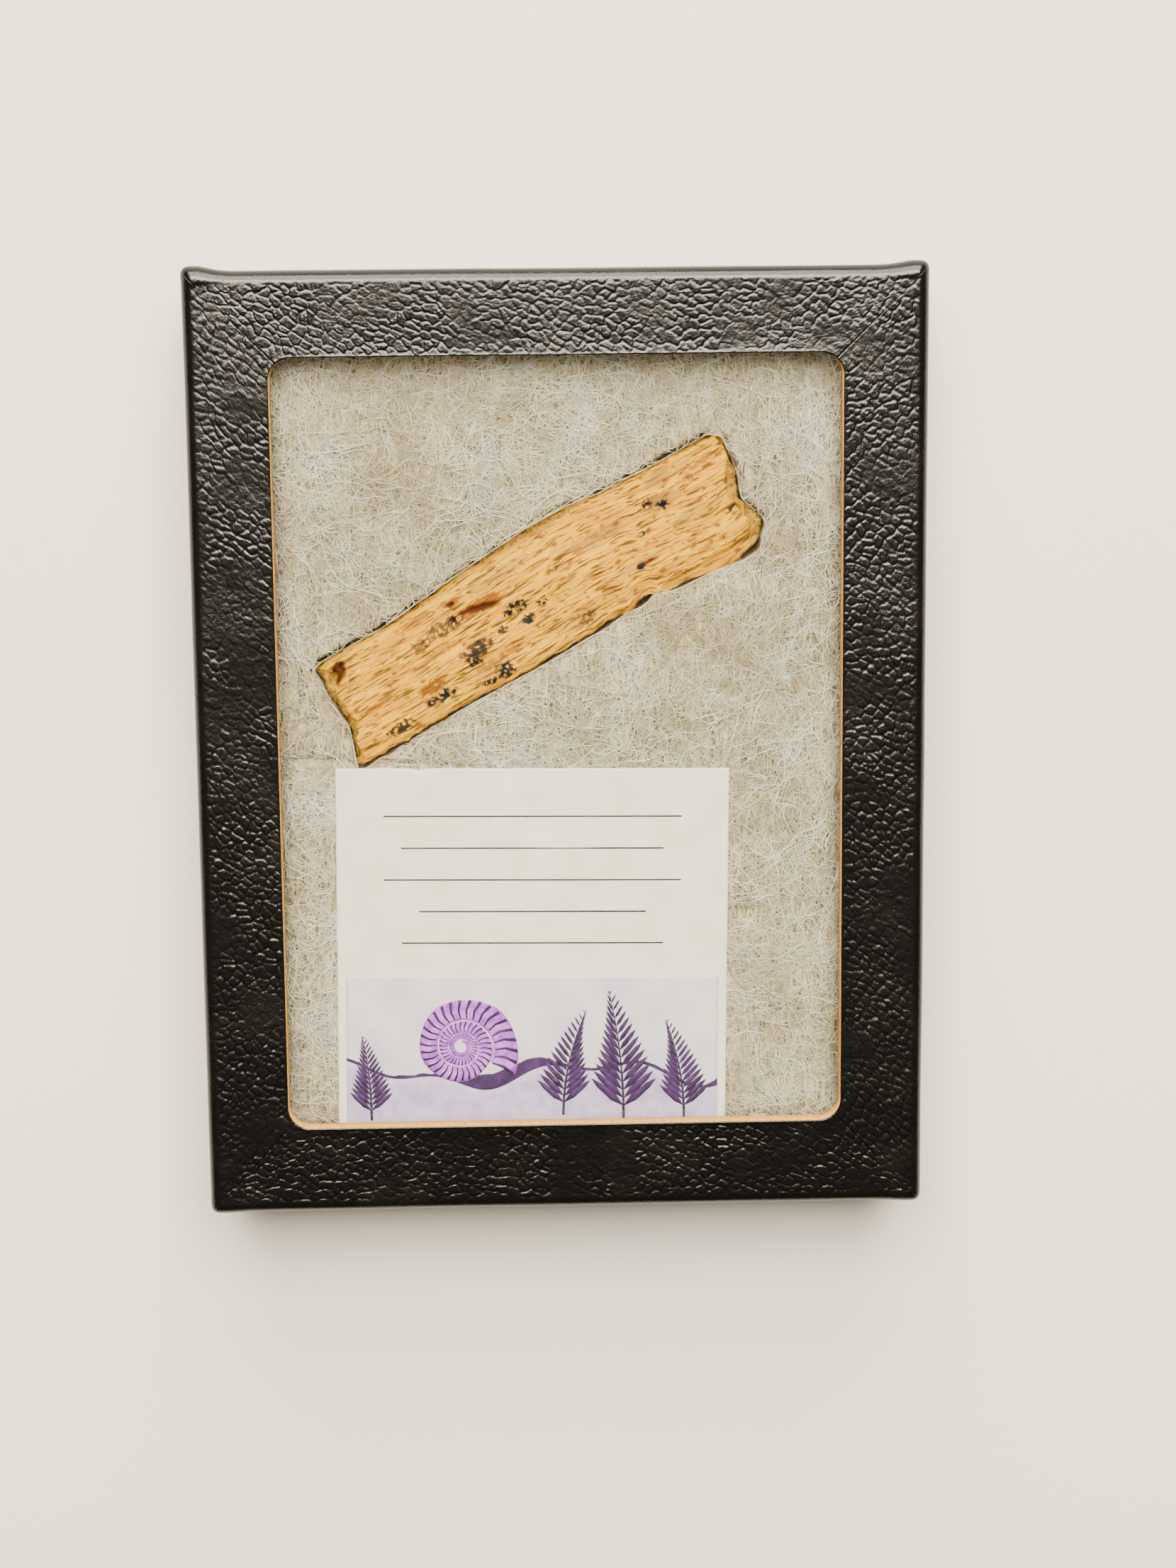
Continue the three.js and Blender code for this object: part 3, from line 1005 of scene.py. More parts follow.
@dataclass
class LidBoard:
    """The lid's cardboard, whose raw cut edge shows all round the window."""

    box: Box
    steps: tuple[int, int, int] = (360, 260, 12)
    paper: float = 0.5
    bevel: float = 0.3
    sunk: float = 0.08
    foot: float = 0.4
    roughness: float = 0.05
    tooth_mm: float = 0.3
    cut_rows: int = 11
    seed: int = 41

    def make(self, finish: Finish) -> Piece:
        """Build the board as one ring-shaped body.

        Args:
            finish: the raw cut board.

        Returns:
            The piece: its section runs down the chamfer and the window's cut, out along the underside,
            down the inner wall, round the foot, up the outer wall and back over the top.
        """
        box = self.box
        top, under, foot = box.top - self.paper, box.top - box.board, box.lid_low[2] + self.foot
        edge = box.top - self.sunk
        window, ways = outline(*box.window, box.window_corner, box.window_centre, self.steps)
        rim, out = outline(box.width, box.length, box.plan_corner, (0.0, 0.0), self.steps)
        lips = box.lips(ways)
        outer, inner = rim - out * self.paper, rim - out * (box.wall - self.paper)
        rows = [(window + ways * lips * (1 - s), edge - s * self.bevel) for s in (0.0, 0.33, 0.66, 1.0)]
        rows += [(window, z) for z in np.linspace(edge - self.bevel, under, 8)[1:]]
        rows += [(window * (1 - s) + (rim - out * box.wall) * s, under) for s in (0.1, 0.5, 1.0)]
        rows += [(inner, foot), (outer, foot), (outer, box.top - box.edge_round)]
        for turn in (0.5, 1.0, math.pi / 2):
            rows.append((rim - out * (box.edge_round * (1 - math.cos(turn)) + self.paper),
                         box.top - box.edge_round * (1 - math.sin(turn)) - self.paper))
        rows += [(window * 0.8 + (rim - out * box.edge_round) * 0.2, top)]
        rows += [(window + ways * (lips + 0.9), top), (window + ways * (lips + 0.15), box.top - 0.2)]
        points = np.array([np.column_stack([plan, np.full(len(plan), z)]) for plan, z in rows])
        cut = slice(0, self.cut_rows)
        tooth = fractal(points[cut] / self.tooth_mm, self.seed, 3)
        points[cut, :, :2] += ways * (self.roughness * tooth)[..., None]
        faces = grid_faces(*points.shape[:2], close_rows=True, close_columns=True)
        piece = build("lid_board", points, [faces], finish)
        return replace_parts(piece, "lid")


@dataclass
class Bone:
    """The fossil bone fragment. u runs along it, v across it, from its middle, in millimetres."""

    place: tuple[float, float] = (-1.77, 17.25)
    turn: float = 29.67
    middle: float = 12.35
    half: float = 3.35
    square: float = 13.0
    crown: float = 0.55
    taper: float = 0.05
    cortex: float = 1.5
    stations: int = 440
    top_steps: int = 136
    under_steps: int = 56
    seed: int = 71
    lower_edge: Table = ((-27, -6.5), (-25, -6.4), (-14, -6.3), (-3, -6.6), (4, -6.5), (7, -6.2), (9, -6.5),
                         (11, -5.8), (12.2, -6.1), (12.9, -6.7), (18, -7.1), (22, -7.8), (24, -7.5), (25.5, -7))
    upper_edge: Table = ((-27, 5.9), (-25, 6.2), (-18, 6), (-14, 6.3), (-6, 7), (2, 7.5), (7, 7.4),
                         (11, 6.75), (18, 6.45), (26, 6.3))
    left_cortex: Table = ((-6.2, -27.5), (-3.8, -26.8), (-2, -25.9), (0.7, -25.6), (1.8, -26.1),
                          (4.4, -24.6), (5.7, -26))
    left_core: Table = ((-6, -27.9), (-4, -27.1), (-1.5, -26.3), (1.5, -26.6), (5.5, -26.4))
    right_cortex: Table = ((-7.2, 23), (-4.4, 24), (-2.8, 24.3), (-0.9, 23.4), (1.85, 24.5), (2.7, 25.3),
                           (4.8, 25.9), (6.1, 25.9))
    right_core: Table = ((-7.3, 23.7), (-5, 25.7), (-3, 24.9), (-1.7, 24.5), (1.3, 25.6), (5.5, 26.1),
                         (6.5, 24.7))
    # Pits: middle u, v, half length along u, half width, depth and slant
    pits: Marks = (
        (-6.9, 2.5, 2.9, 0.45, 0.7, -0.2), (-24.6, 4.1, 1.5, 1.1, 1.1, 0.5), (-10.2, 2.9, 0.5, 0.3, 0.5, 0.0),
        (-9.6, 4.5, 0.6, 0.3, 0.4, 0.0), (12.2, -2.6, 0.9, 0.2, 0.4, 0.0),
    )
    # Manganese crusts: middle u, v, half length along u, half width, strength
    crusts: Marks = (
        (-3.3, 0.5, 1.6, 0.7, 0.9), (-2.8, -1.3, 0.9, 0.6, 0.9), (-0.4, -0.3, 0.7, 0.5, 0.8),
        (-5.9, -0.9, 0.6, 0.4, 0.8), (-11.6, 2.6, 2.2, 0.8, 0.7), (-14.9, 2.2, 1.0, 0.8, 0.6),
        (-9.6, -1.4, 2.0, 0.8, 0.8), (-10.4, -2.6, 0.7, 0.6, 0.9), (-8.0, -5.0, 1.2, 0.8, 0.9),
        (-10.1, -5.4, 0.9, 0.4, 1.0), (-15.7, -4.0, 1.8, 0.6, 1.0), (-21.6, -4.7, 1.8, 0.6, 0.8),
        (2.9, -4.5, 1.2, 0.6, 0.7), (16.7, 2.2, 0.7, 0.55, 1.0), (15.2, 3.1, 0.5, 0.4, 0.9),
        (13.1, 0.5, 0.7, 0.25, 0.9), (11.1, -2.6, 0.6, 0.35, 0.9), (23.4, -2.0, 0.6, 0.35, 0.8),
        (2.2, 2.1, 0.9, 0.3, 0.6), (20.8, 3.3, 0.6, 0.4, 0.6), (24.6, 1.0, 0.8, 0.5, 0.7),
    )
    # Rust stains, in the same order of numbers
    rusts: Marks = (
        (-9.4, 4.6, 1.6, 0.4, 0.9), (-7.0, 2.7, 3.2, 0.8, 0.9), (-14.2, 4.9, 2.4, 0.5, 0.7),
        (-16.0, -2.6, 1.8, 0.8, 0.9), (-6.7, -3.5, 1.6, 0.5, 0.7), (-9.5, -3.6, 1.4, 0.6, 0.7),
        (9.1, -0.9, 0.5, 0.3, 0.9), (14.4, -5.3, 0.6, 0.35, 0.9), (15.3, -5.8, 0.6, 0.3, 0.9),
        (22.5, 4.4, 2.2, 0.5, 0.6), (20.9, -2.9, 0.4, 0.25, 0.9), (5.8, 2.4, 0.8, 0.4, 0.5),
        (-22.5, -1.2, 2.6, 0.3, 0.8), (-12.5, 0.6, 2.0, 0.4, 0.5), (15.9, 3.0, 1.8, 0.7, 0.5),
        (18.6, -4.4, 1.0, 0.3, 0.7), (3.0, 0.4, 1.4, 0.3, 0.5), (-19.0, 3.2, 2.0, 0.4, 0.4),
    )
    # Mauve-grey patches, in the same order of numbers
    mauves: Marks = (
        (8.6, 2.8, 3.8, 0.9, 0.7), (-3.6, 4.6, 4.2, 0.9, 0.5), (18.8, 5.0, 3.0, 0.7, 0.7),
        (16.4, 2.6, 2.2, 1.2, 0.7), (19.0, -0.4, 2.6, 0.8, 0.5), (-11.4, 3.3, 2.2, 0.8, 0.4),
        (1.5, -4.4, 3.4, 0.9, 0.4), (-9.0, -4.4, 2.4, 1.0, 0.4), (11.0, -2.3, 3.0, 0.6, 0.4),
    )

    def section(self, steps: int, start: float) -> Array:
        """Space points evenly over half of a square-shouldered oval of half width and height 1.

        Args:
            steps: how many points.
            start: the angle at which the half starts.

        Returns:
            The points: cosine and sine of an even angle, each to the power two over square, walked at
            even steps of the curve's length.
        """
        angle = np.linspace(start, start + math.pi, 4000)
        raw = np.stack([np.cos(angle), np.sin(angle)], axis=-1)
        raw = np.sign(raw) * np.abs(raw) ** (2 / self.square)
        walked = np.concatenate([[0], np.cumsum(np.hypot(*np.diff(raw, axis=0).T))])
        at = np.linspace(0, walked[-1], steps, endpoint=False)
        return np.stack([np.interp(at, walked, raw[:, 0]), np.interp(at, walked, raw[:, 1])], axis=-1)

    def spots(self, u: Array, v: Array, table: Marks, ragged: float) -> Array:
        """Give the strength of a group of stains.

        Args:
            u: places along the bone.
            v: places across it.
            table: for each stain its middle, half length, half width and strength.
            ragged: how much noise frays the stains' edges.

        Returns:
            The strongest stain's strength at each place: a soft oval less frayed noise.
        """
        fray = fractal(pack(3.0 * u, 4.6 * v), self.seed + 3, 3)
        total = np.zeros(u.shape)
        for mid_u, mid_v, long, wide, strength in table:
            away = np.sqrt(((u - mid_u) / long) ** 2 + ((v - mid_v) / wide) ** 2)
            within = np.clip(1.6 - away, 0, 1)
            total = np.maximum(total, strength * smooth(within - 0.5 + ragged * fray * within, 0.0, 0.3))
        return total

    def sunk(self, u: Array, v: Array) -> tuple[Array, Array]:
        """Say how far the upper face sinks and how dark its pits are.

        Args:
            u: places along the bone.
            v: places across it.

        Returns:
            The depth of the broken slope, the low shelf and the pits, and the pits' darkness. A pit is
            its depth times one less the squared distance from its middle, in half sizes.
        """
        slope = 1.3 * smooth(v, 5.8, 7.4) * smooth(u, -9, -4) * (1 - smooth(u, 6, 10))
        shelf = 0.7 * smooth(-v, 5.6, 6.1) * smooth(u, 11.5, 12.6)
        ragged = 0.35 * fractal(pack(1.3 * u, 2.6 * v), self.seed + 9, 3)
        pit, dark = np.zeros(u.shape), np.zeros(u.shape)
        for mid_u, mid_v, long, wide, depth, slant in self.pits:
            across = (v - mid_v - slant * (u - mid_u)) / wide + ragged
            inside = np.clip(1 - ((u - mid_u) / long) ** 2 - across ** 2, 0, 1)
            pit += depth * inside
            dark = np.maximum(dark, smooth(inside, 0.05, 0.5))
        return slope + shelf + pit, dark

    def pores(self, u: Array, v: Array) -> Array:
        """Scatter small long pores.

        Args:
            u: places along the bone.
            v: places across it.

        Returns:
            How deep each place lies in a pore, from 0 to 1. The cells of a grid drawn out along u hold
            one pore each or none, off its middle, and more of them hold one towards the right end.
        """
        places = pack(u / 1.7, v / 0.8)
        places = places + 0.12 * pack(noise(places * 4.0, self.seed + 40), noise(places * 4.0, self.seed + 41))
        cell = np.floor(places).astype(np.int64)
        found = np.zeros(u.shape)
        for step in np.ndindex(3, 3):
            square = cell + np.array(step) - 1
            chance = [hashed(square, self.seed + number) for number in range(50, 54)]
            middle = square + 0.5 + 0.7 * (pack(*chance[:2]) - 0.5)
            size = 0.09 + 0.19 * chance[2] ** 2
            here = chance[3] < 0.42 + 0.015 * np.clip(u, -8, 12)
            away = np.hypot(*np.moveaxis(places - middle, -1, 0)) / size
            found = np.maximum(found, np.where(here, smooth(1.3 - away, 0.0, 0.8), 0.0))
        return found

    def grain(self, u: Array, v: Array) -> Array:
        """Give the long grain.

        Args:
            u: places along the bone.
            v: places across it.

        Returns:
            Its height: noise drawn out ten to one along u, sharpened to narrow furrows, and finer noise.
        """
        wander = v + 0.25 * noise(pack(u / 9.0, v / 4.0), self.seed + 20)
        coarse = noise(pack(u / 3.4, wander / 0.33), self.seed + 21)
        fine = noise(pack(u / 1.8, wander / 0.17), self.seed + 22)
        return -np.abs(coarse) ** 0.7 + 0.5 * fine

    def rings(self) -> tuple[Array, Array, Array]:
        """Lay out the rings of points round the bone.

        Returns:
            The section's points, each ring's share of the way from the left end to the right, and how
            large it is. The first and last rings close over the broken ends.
        """
        side = np.concatenate([self.section(self.top_steps, 0.0), self.section(self.under_steps, math.pi)])
        reach = np.array([0.1, 0.2, 0.3, 0.4, 0.5, 0.6, 0.7, 0.78, 0.85, 0.9, 0.94, 0.97, 0.99])
        start = np.concatenate([np.zeros(len(reach) - 3), [0.0004, 0.0012, 0.0026]])
        share = np.concatenate([start, np.linspace(0.0045, 0.9955, self.stations), 1 - start[::-1]])
        reach = np.concatenate([reach, np.ones(self.stations), reach[::-1]])
        return side, share[:, None], reach[:, None]

    def plan(self, share: Array, up: Array, across: Array) -> tuple[Array, Array, Array]:
        """Place the rings' points in plan.

        Args:
            share: each ring's share of the way along.
            up: each point's height, from -1 to 1.
            across: its place across, from -1 to 1.

        Returns:
            u, v, and whether the point is as deep as the core. v runs between the tables of edges, and
            u between the tables of cortex, or below it those of the core, with jags of noise.
        """
        nominal = -26.5 + 51.7 * share
        rough = 0.16 * fractal(pack(nominal / 1.4, np.ones(across.shape)), self.seed, 3)
        low, high = along(self.lower_edge, nominal), along(self.upper_edge, nominal)
        v = (low + high) / 2 + ((high - low) / 2 + rough) * across
        depth = smooth(self.half * (1 - up), self.cortex - 0.3, self.cortex + 0.3)
        left = along(self.left_cortex, v) * (1 - depth) + along(self.left_core, v) * depth
        right = along(self.right_cortex, v) * (1 - depth) + along(self.right_core, v) * depth
        jags = pack(v / 1.3, self.half * up / 1.3)
        left = left + np.abs(fractal(jags, self.seed + 1, 4)) - 0.2
        right = right - np.abs(fractal(jags, self.seed + 2, 4)) + 0.2
        return left * (1 - share) + right * share, v, depth

    def make(self, finish: Finish) -> Piece:
        """Build the bone.

        Args:
            finish: the fossil bone's material.

        Returns:
            The piece. Its skin is a grid of rings round the bone, from one broken end to the other.
            Grain, chips and pits are pressed into its upper face, and its sides are roughened by noise.
        """
        side, share, reach = self.rings()
        up = side[:, 1] * reach
        across = side[:, 0] * reach * (1 - self.taper * (1 - up))
        u, v, depth = self.plan(share, up, across)
        on_top = np.maximum(0, up)
        sink, dark = self.sunk(u, v)
        pores = self.pores(u, v)
        relief = 0.09 * (np.sin(1.9 * v + 0.12 * u) - 1) + 0.1 * (np.sin(0.5 * v + 0.33 * u) - 1)
        lift = relief - sink - self.crown * across ** 2 - 0.1 * pores + 0.13 * self.grain(u, v)
        skin = pack(u, v, self.middle + self.half * up + on_top * lift)
        side_rough = (1 - smooth(up, 0.9, 1.0)) * 0.28 * fractal(skin / 0.8, self.seed + 6, 4)
        skin[..., 1] += side_rough * across
        skin[..., 0] += side_rough * np.where(reach < 1, np.sign(share - 0.5), 0.0)
        core = smooth(depth, 0.1, 0.9) * smooth(np.abs(share - 0.5), 0.485, 0.4995)
        core = np.maximum(core, smooth(v, 6.3, 6.9) * smooth(u, -9, -4) * (1 - smooth(u, 7, 10)) * 0.8)
        core = np.maximum(core, (1 - smooth(up, 0.35, 0.9)) * 0.4)
        ends = [np.array([[*skin[row, :, :2].mean(axis=0), self.middle]]) for row in (0, -1)]
        rings, round_ = skin.shape[:2]
        ring = np.arange(round_)
        after = np.roll(ring, -1)
        last = (rings - 1) * round_
        caps = [pack(rings * round_, after, ring), pack(rings * round_ + 1, last + ring, last + after)]
        walked = np.cumsum(np.hypot(*np.diff(side, axis=0, append=side[:1]).T)) * self.half * 1.6
        values = {
            "crust": np.minimum(1, 1.2 * self.spots(u, v, self.crusts, 1.7)) * on_top,
            "rust": np.maximum(self.spots(u, v, self.rusts, 0.8), 0.8 * pores) * on_top,
            "mauve": 0.8 * self.spots(u, v, self.mauves, 0.9) * on_top,
            "pore": np.maximum(dark, 0.3 * smooth(pores, 0.5, 1.0)) * on_top,
            "core": core,
        }
        values = {key: np.append(value, [0.0, 0.0]) for key, value in values.items()}
        chart = np.concatenate([(pack(u, walked) * MM).reshape(-1, 2), np.zeros((2, 2))])
        points = turned(np.concatenate([skin.reshape(-1, 3), *ends]), self.turn) + np.array([*self.place, 0.0])
        faces = [grid_faces(rings, round_, close_columns=True), np.concatenate(caps)]
        piece = build("bone_fragment_skin", points, faces, finish, values, chart)
        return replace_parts(piece, "bone_fragment")

    def distance(self, x: Array, y: Array) -> Array:
        """Say how far places of the box's plan lie outside the bone's outline.

        Args:
            x: places along the box's X.
            y: places along its Y.

        Returns:
            Millimetres, negative inside: the largest of the distances past the four edges.
        """
        u, v = np.moveaxis(local(x, y, self.place, self.turn), -1, 0)
        return np.maximum.reduce([along(self.lower_edge, u) - v, v - along(self.upper_edge, u),
                                  along(self.left_core, v) - u, u - along(self.right_core, v)])


@dataclass
class LabelCard:
    """The label card: cream stock, ruled lines for writing, and a printed panel at its foot."""

    width: float = 44.8
    length: float = 44.4
    thickness: float = 0.35
    place: tuple[float, float] = (-3.6, -24.55)
    turn: float = -0.8
    top: float = 15.7
    margin: float = 0.95
    panel_top: float = -1.9
    ink: float = 0.02
    stock_pitch: float = 0.3
    panel_pitch: float = 0.5
    notch: float = 0.25
    notch_place: float = -12.9
    notch_width: float = 0.7
    shell_place: tuple[float, float] = (-8.2, -10.4)
    shell_size: float = 6.9
    shell_rate: float = 0.098
    shell_start: float = -0.5
    shell_turns: float = 3.3
    shell_ribs: int = 30
    rib_width: float = 0.035
    # Fern fronds: foot across and along the card, height and lean
    ferns: Marks = ((3.6, -18.6, 12.5, 2.6), (10.6, -19.4, 15.6, -1.8), (17.6, -18.9, 11.6, -2.2),
                    (-18.6, -19.2, 10.0, -1.0))
    leaf: Table = ((0, 0), (0.3, -0.09), (0.75, -0.07), (1, 0), (0.75, 0.07), (0.3, 0.09))
    leaf_pairs: int = 15
    # Ruled lines: place along the card and length
    rules: Table = ((16.6, 34.0), (12.9, 30.0), (9.2, 34.0), (5.5, 26.0), (1.8, 30.0))
    rule_width: float = 0.16
    ground: float = -13.8
    seed: int = 90
    inks: dict[Ink, Finish] = field(default_factory=lambda: {ink: ink.value.material() for ink in Ink})

    def put(self, points: Array) -> Array:
        """Move points from the card's own frame to the box's."""
        return turned(points, self.turn) + np.array([*self.place, 0.0])

    def bend(self, x: Array, y: Array) -> Array:
        """Give the card's slight waviness: slow noise of a tenth of a millimetre, never above its top."""
        return 0.06 * (fractal(pack(x / 18, y / 18), self.seed, 2) - 1)

    def layer(self, number: int) -> tuple[float, float]:
        """Give the heights of an ink film's two faces, with this number of films below it."""
        return self.top + self.ink * number, self.top + self.ink * (number + 1)

    def film(self, name: str, x: Array, y: Array, heights: tuple[float, float], ink: Ink,
             dent: Array | float = 0.0) -> Piece:
        """Build a layer that follows the card's waviness.

        Args:
            name: the piece's name.
            x: a grid of places across the card.
            y: their places along it.
            heights: those of its underside and its face.
            ink: its tone.
            dent: how far each place is pushed back towards the card's foot, and half as far down.

        Returns:
            The piece.
        """
        wave = self.bend(x, y) - 0.5 * dent
        back, face = (pack(x, y - dent, height + wave) for height in heights)
        points, faces = slab(face, back)
        return build(name, self.put(points), faces, self.inks[ink])

    def sheet(self, name: str, x: tuple[float, float], y: tuple[float, float], heights: tuple[float, float],
              pitch: float, ink: Ink, notch: float = 0.0) -> Piece:
        """Build a rectangular layer.

        Args:
            name: the piece's name.
            x: its lowest and highest place across the card.
            y: its lowest and highest place along the card.
            heights: those of its underside and its face.
            pitch: the spacing of its points.
            ink: its tone.
            notch: the depth of the small dent in its upper edge.

        Returns:
            The piece.
        """
        grid_x, grid_y = np.meshgrid(*(np.linspace(*ends, max(2, round((ends[1] - ends[0]) / pitch)))
                                       for ends in (x, y)))
        bell = np.exp(-((grid_x - self.notch_place) / self.notch_width) ** 2)
        return self.film(name, grid_x, grid_y, heights, ink, notch * bell * smooth(grid_y, y[1] - 1.2, y[1]))

    def frond(self, foot_x: float, foot_y: float, height: float, lean: float) -> Array:
        """Draw a fern frond as plates.

        Args:
            foot_x: where its stem starts across the card.
            foot_y: where it starts along the card.
            height: the stem's length.
            lean: how far its tip bows to one side.

        Returns:
            Plates of six corners: leaflets that shorten towards the tip, and the stem's pieces.
        """
        share = np.linspace(0.12, 0.97, self.leaf_pairs)
        stem = pack(foot_x + lean * share ** 2, foot_y + height * share)
        size = (height * 0.34 * (1 - share) ** 0.75 + 0.25)[:, None, None]
        tilt = math.radians(38) + 0.5 * share
        shape = np.array(self.leaf)
        plates = []
        for side in (-1, 1):
            way = pack(side * np.cos(tilt), np.sin(tilt))[:, None]
            cross = pack(-way[..., 1], way[..., 0])
            plates.append(stem[:, None] + size * (shape[:, :1] * way + shape[:, 1:] * cross))
        ends = np.linspace(0, 1, 13)
        line = pack(foot_x + lean * ends ** 2, foot_y + height * ends)
        wide = pack(0.16 * (1 - 0.8 * ends), 0.0)
        left, right = line - wide, line + wide
        middle, half = (line[:-1] + line[1:]) / 2, 0.5 * (wide[:-1] + wide[1:])
        stalk = np.stack([left[:-1], right[:-1], middle + half, right[1:], left[1:], middle - half], axis=1)
        return np.concatenate([*plates, stalk])

    def spiral(self, angle: Array, radius: Array | float) -> Array:
        """Place points of the printed shell.

        Args:
            angle: how far round the shell, inwards from its mouth.
            radius: the share of the shell's radius there.

        Returns:
            The points: the radius shrinks by a fixed share with each turn.
        """
        reach = self.shell_size * np.exp(-self.shell_rate * angle) * radius
        return pack(self.shell_place[0] + reach * np.cos(angle + self.shell_start),
                    self.shell_place[1] + reach * np.sin(angle + self.shell_start))

    def shell(self) -> Piece:
        """Print the shell's coiled band.

        Returns:
            The piece: its turns all but touch, and its outer edge swells a little at each rib.
        """
        inner = math.exp(-self.shell_rate * 2 * math.pi)
        angle, share = np.meshgrid(np.linspace(0, self.shell_turns * 2 * math.pi, 420),
                                   np.linspace(inner * 1.04, 1.0, 7))
        swell = 1 + 0.018 * np.cos(angle * self.shell_ribs / (2 * math.pi)) * (share > 0.99)
        x, y = np.moveaxis(self.spiral(angle, share * swell), -1, 0)
        return self.film("panel_shell_print", x, y, self.layer(2), Ink.SHELL)

    def ribs(self) -> Array:
        """Draw the shell's ribs, bowed across its band.

        Returns:
            Plates of six corners.
        """
        inner = math.exp(-self.shell_rate * 2 * math.pi)
        angle = np.arange(0.0, self.shell_turns * 2 * math.pi - 0.3, 2 * math.pi / self.shell_ribs)
        sides = [(inner * 1.1, 0.0), ((1 + inner) / 2, 0.05), (0.985, 0.0)]
        left = [self.spiral(angle + bow - self.rib_width * share, share) for share, bow in sides]
        right = [self.spiral(angle + bow + self.rib_width * share, share) for share, bow in sides[::-1]]
        return np.stack(left + right, axis=1)

    def plates(self, name: str, outlines: Array, ink: Ink, number: int) -> Piece:
        """Print a group of plates on the card.

        Args:
            name: the piece's name.
            outlines: plates by corners by two coordinates.
            ink: their tone.
            number: how many ink films lie below them.

        Returns:
            The piece. An outline that runs clockwise, so that its area comes out negative, is turned round.
        """
        after = np.roll(outlines, -1, axis=1)
        area = np.sum(outlines[..., 0] * after[..., 1] - outlines[..., 1] * after[..., 0], axis=1)
        outlines = np.where((area < 0)[:, None, None], outlines[:, ::-1], outlines)
        points, faces = prisms(outlines, *self.layer(number))
        points[:, 2] += self.bend(points[:, 0], points[:, 1])
        return build(name, self.put(points), faces, self.inks[ink], flat=True)

    def hills(self, side: float, foot: float) -> list[Piece]:
        """Print low misty ground across the panel and a dark ridge behind it.

        Args:
            side: half the panel's width.
            foot: the place of its lower edge.

        Returns:
            The two strips: the ground's upper edge is two slow waves, and the ridge stands on it, its
            own edge a slow wave with fine noise.
        """
        x = np.linspace(-side, side, 240)
        edge = self.ground + 1.2 * np.sin(0.21 * x) + 0.7 * np.sin(0.53 * x + 1.0)
        rough = fractal(pack(x / 0.9, 0.0), self.seed + 5, 3)
        ridge = edge + 0.35 + 1.5 * smooth(np.sin(0.2 * x + 2.4), 0.0, 1.0) + 0.18 * rough
        share = np.linspace(0, 1, 8)[:, None]
        pieces = []
        for name, low, high, ink in (("panel_ground_print", foot, edge, Ink.MIST),
                                     ("panel_ridge_print", edge, ridge, Ink.LINE)):
            y = low * (1 - share) + high * share
            pieces.append(self.film(name, np.broadcast_to(x, y.shape), y, self.layer(1), ink))
        return pieces

    def ruled(self) -> Piece:
        """Rule the lines for writing on, centred and of unequal lengths.

        Returns:
            The piece, with one plate for each line.
        """
        across, rise = np.array([-0.5, 0.0, 0.5, 0.5, 0.0, -0.5]), np.array([0, 0, 0, 1, 1, 1])
        plates = [pack(across * long, y + self.rule_width * rise) for y, long in self.rules]
        return self.plates("ruled_lines", np.array(plates), Ink.RULE, 0)

    def make(self) -> list[Piece]:
        """Build the card, its ruled lines and its printed panel.

        Returns:
            The pieces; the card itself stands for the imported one.
        """
        half_width, half_length = self.width / 2, self.length / 2
        side, foot = half_width - self.margin, self.margin - half_length
        card = self.sheet("label_card_stock", (-half_width, half_width), (-half_length, half_length),
                          (self.top - self.thickness, self.top), self.stock_pitch, Ink.STOCK, self.notch)
        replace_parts(card, "label_card")
        panel = self.sheet("panel_sky_print", (-side, side), (foot, self.panel_top), self.layer(0),
                           self.panel_pitch, Ink.SKY)
        fronds = np.concatenate([self.frond(*fern) for fern in self.ferns])
        return [card, panel, *self.hills(side, foot), self.shell(),
                self.plates("panel_rib_print", self.ribs(), Ink.LINE, 3),
                self.plates("panel_fern_print", fronds, Ink.LINE, 2), self.ruled()]

    def distance(self, x: Array, y: Array) -> Array:
        """Say how far places of the box's plan lie outside the card.

        Args:
            x: places along the box's X.
            y: places along its Y.

        Returns:
            Millimetres, negative inside: the larger of the distances past its sides and its ends.
        """
        own = np.abs(local(x, y, self.place, self.turn))
        return np.maximum(own[..., 0] - self.width / 2, own[..., 1] - self.length / 2)


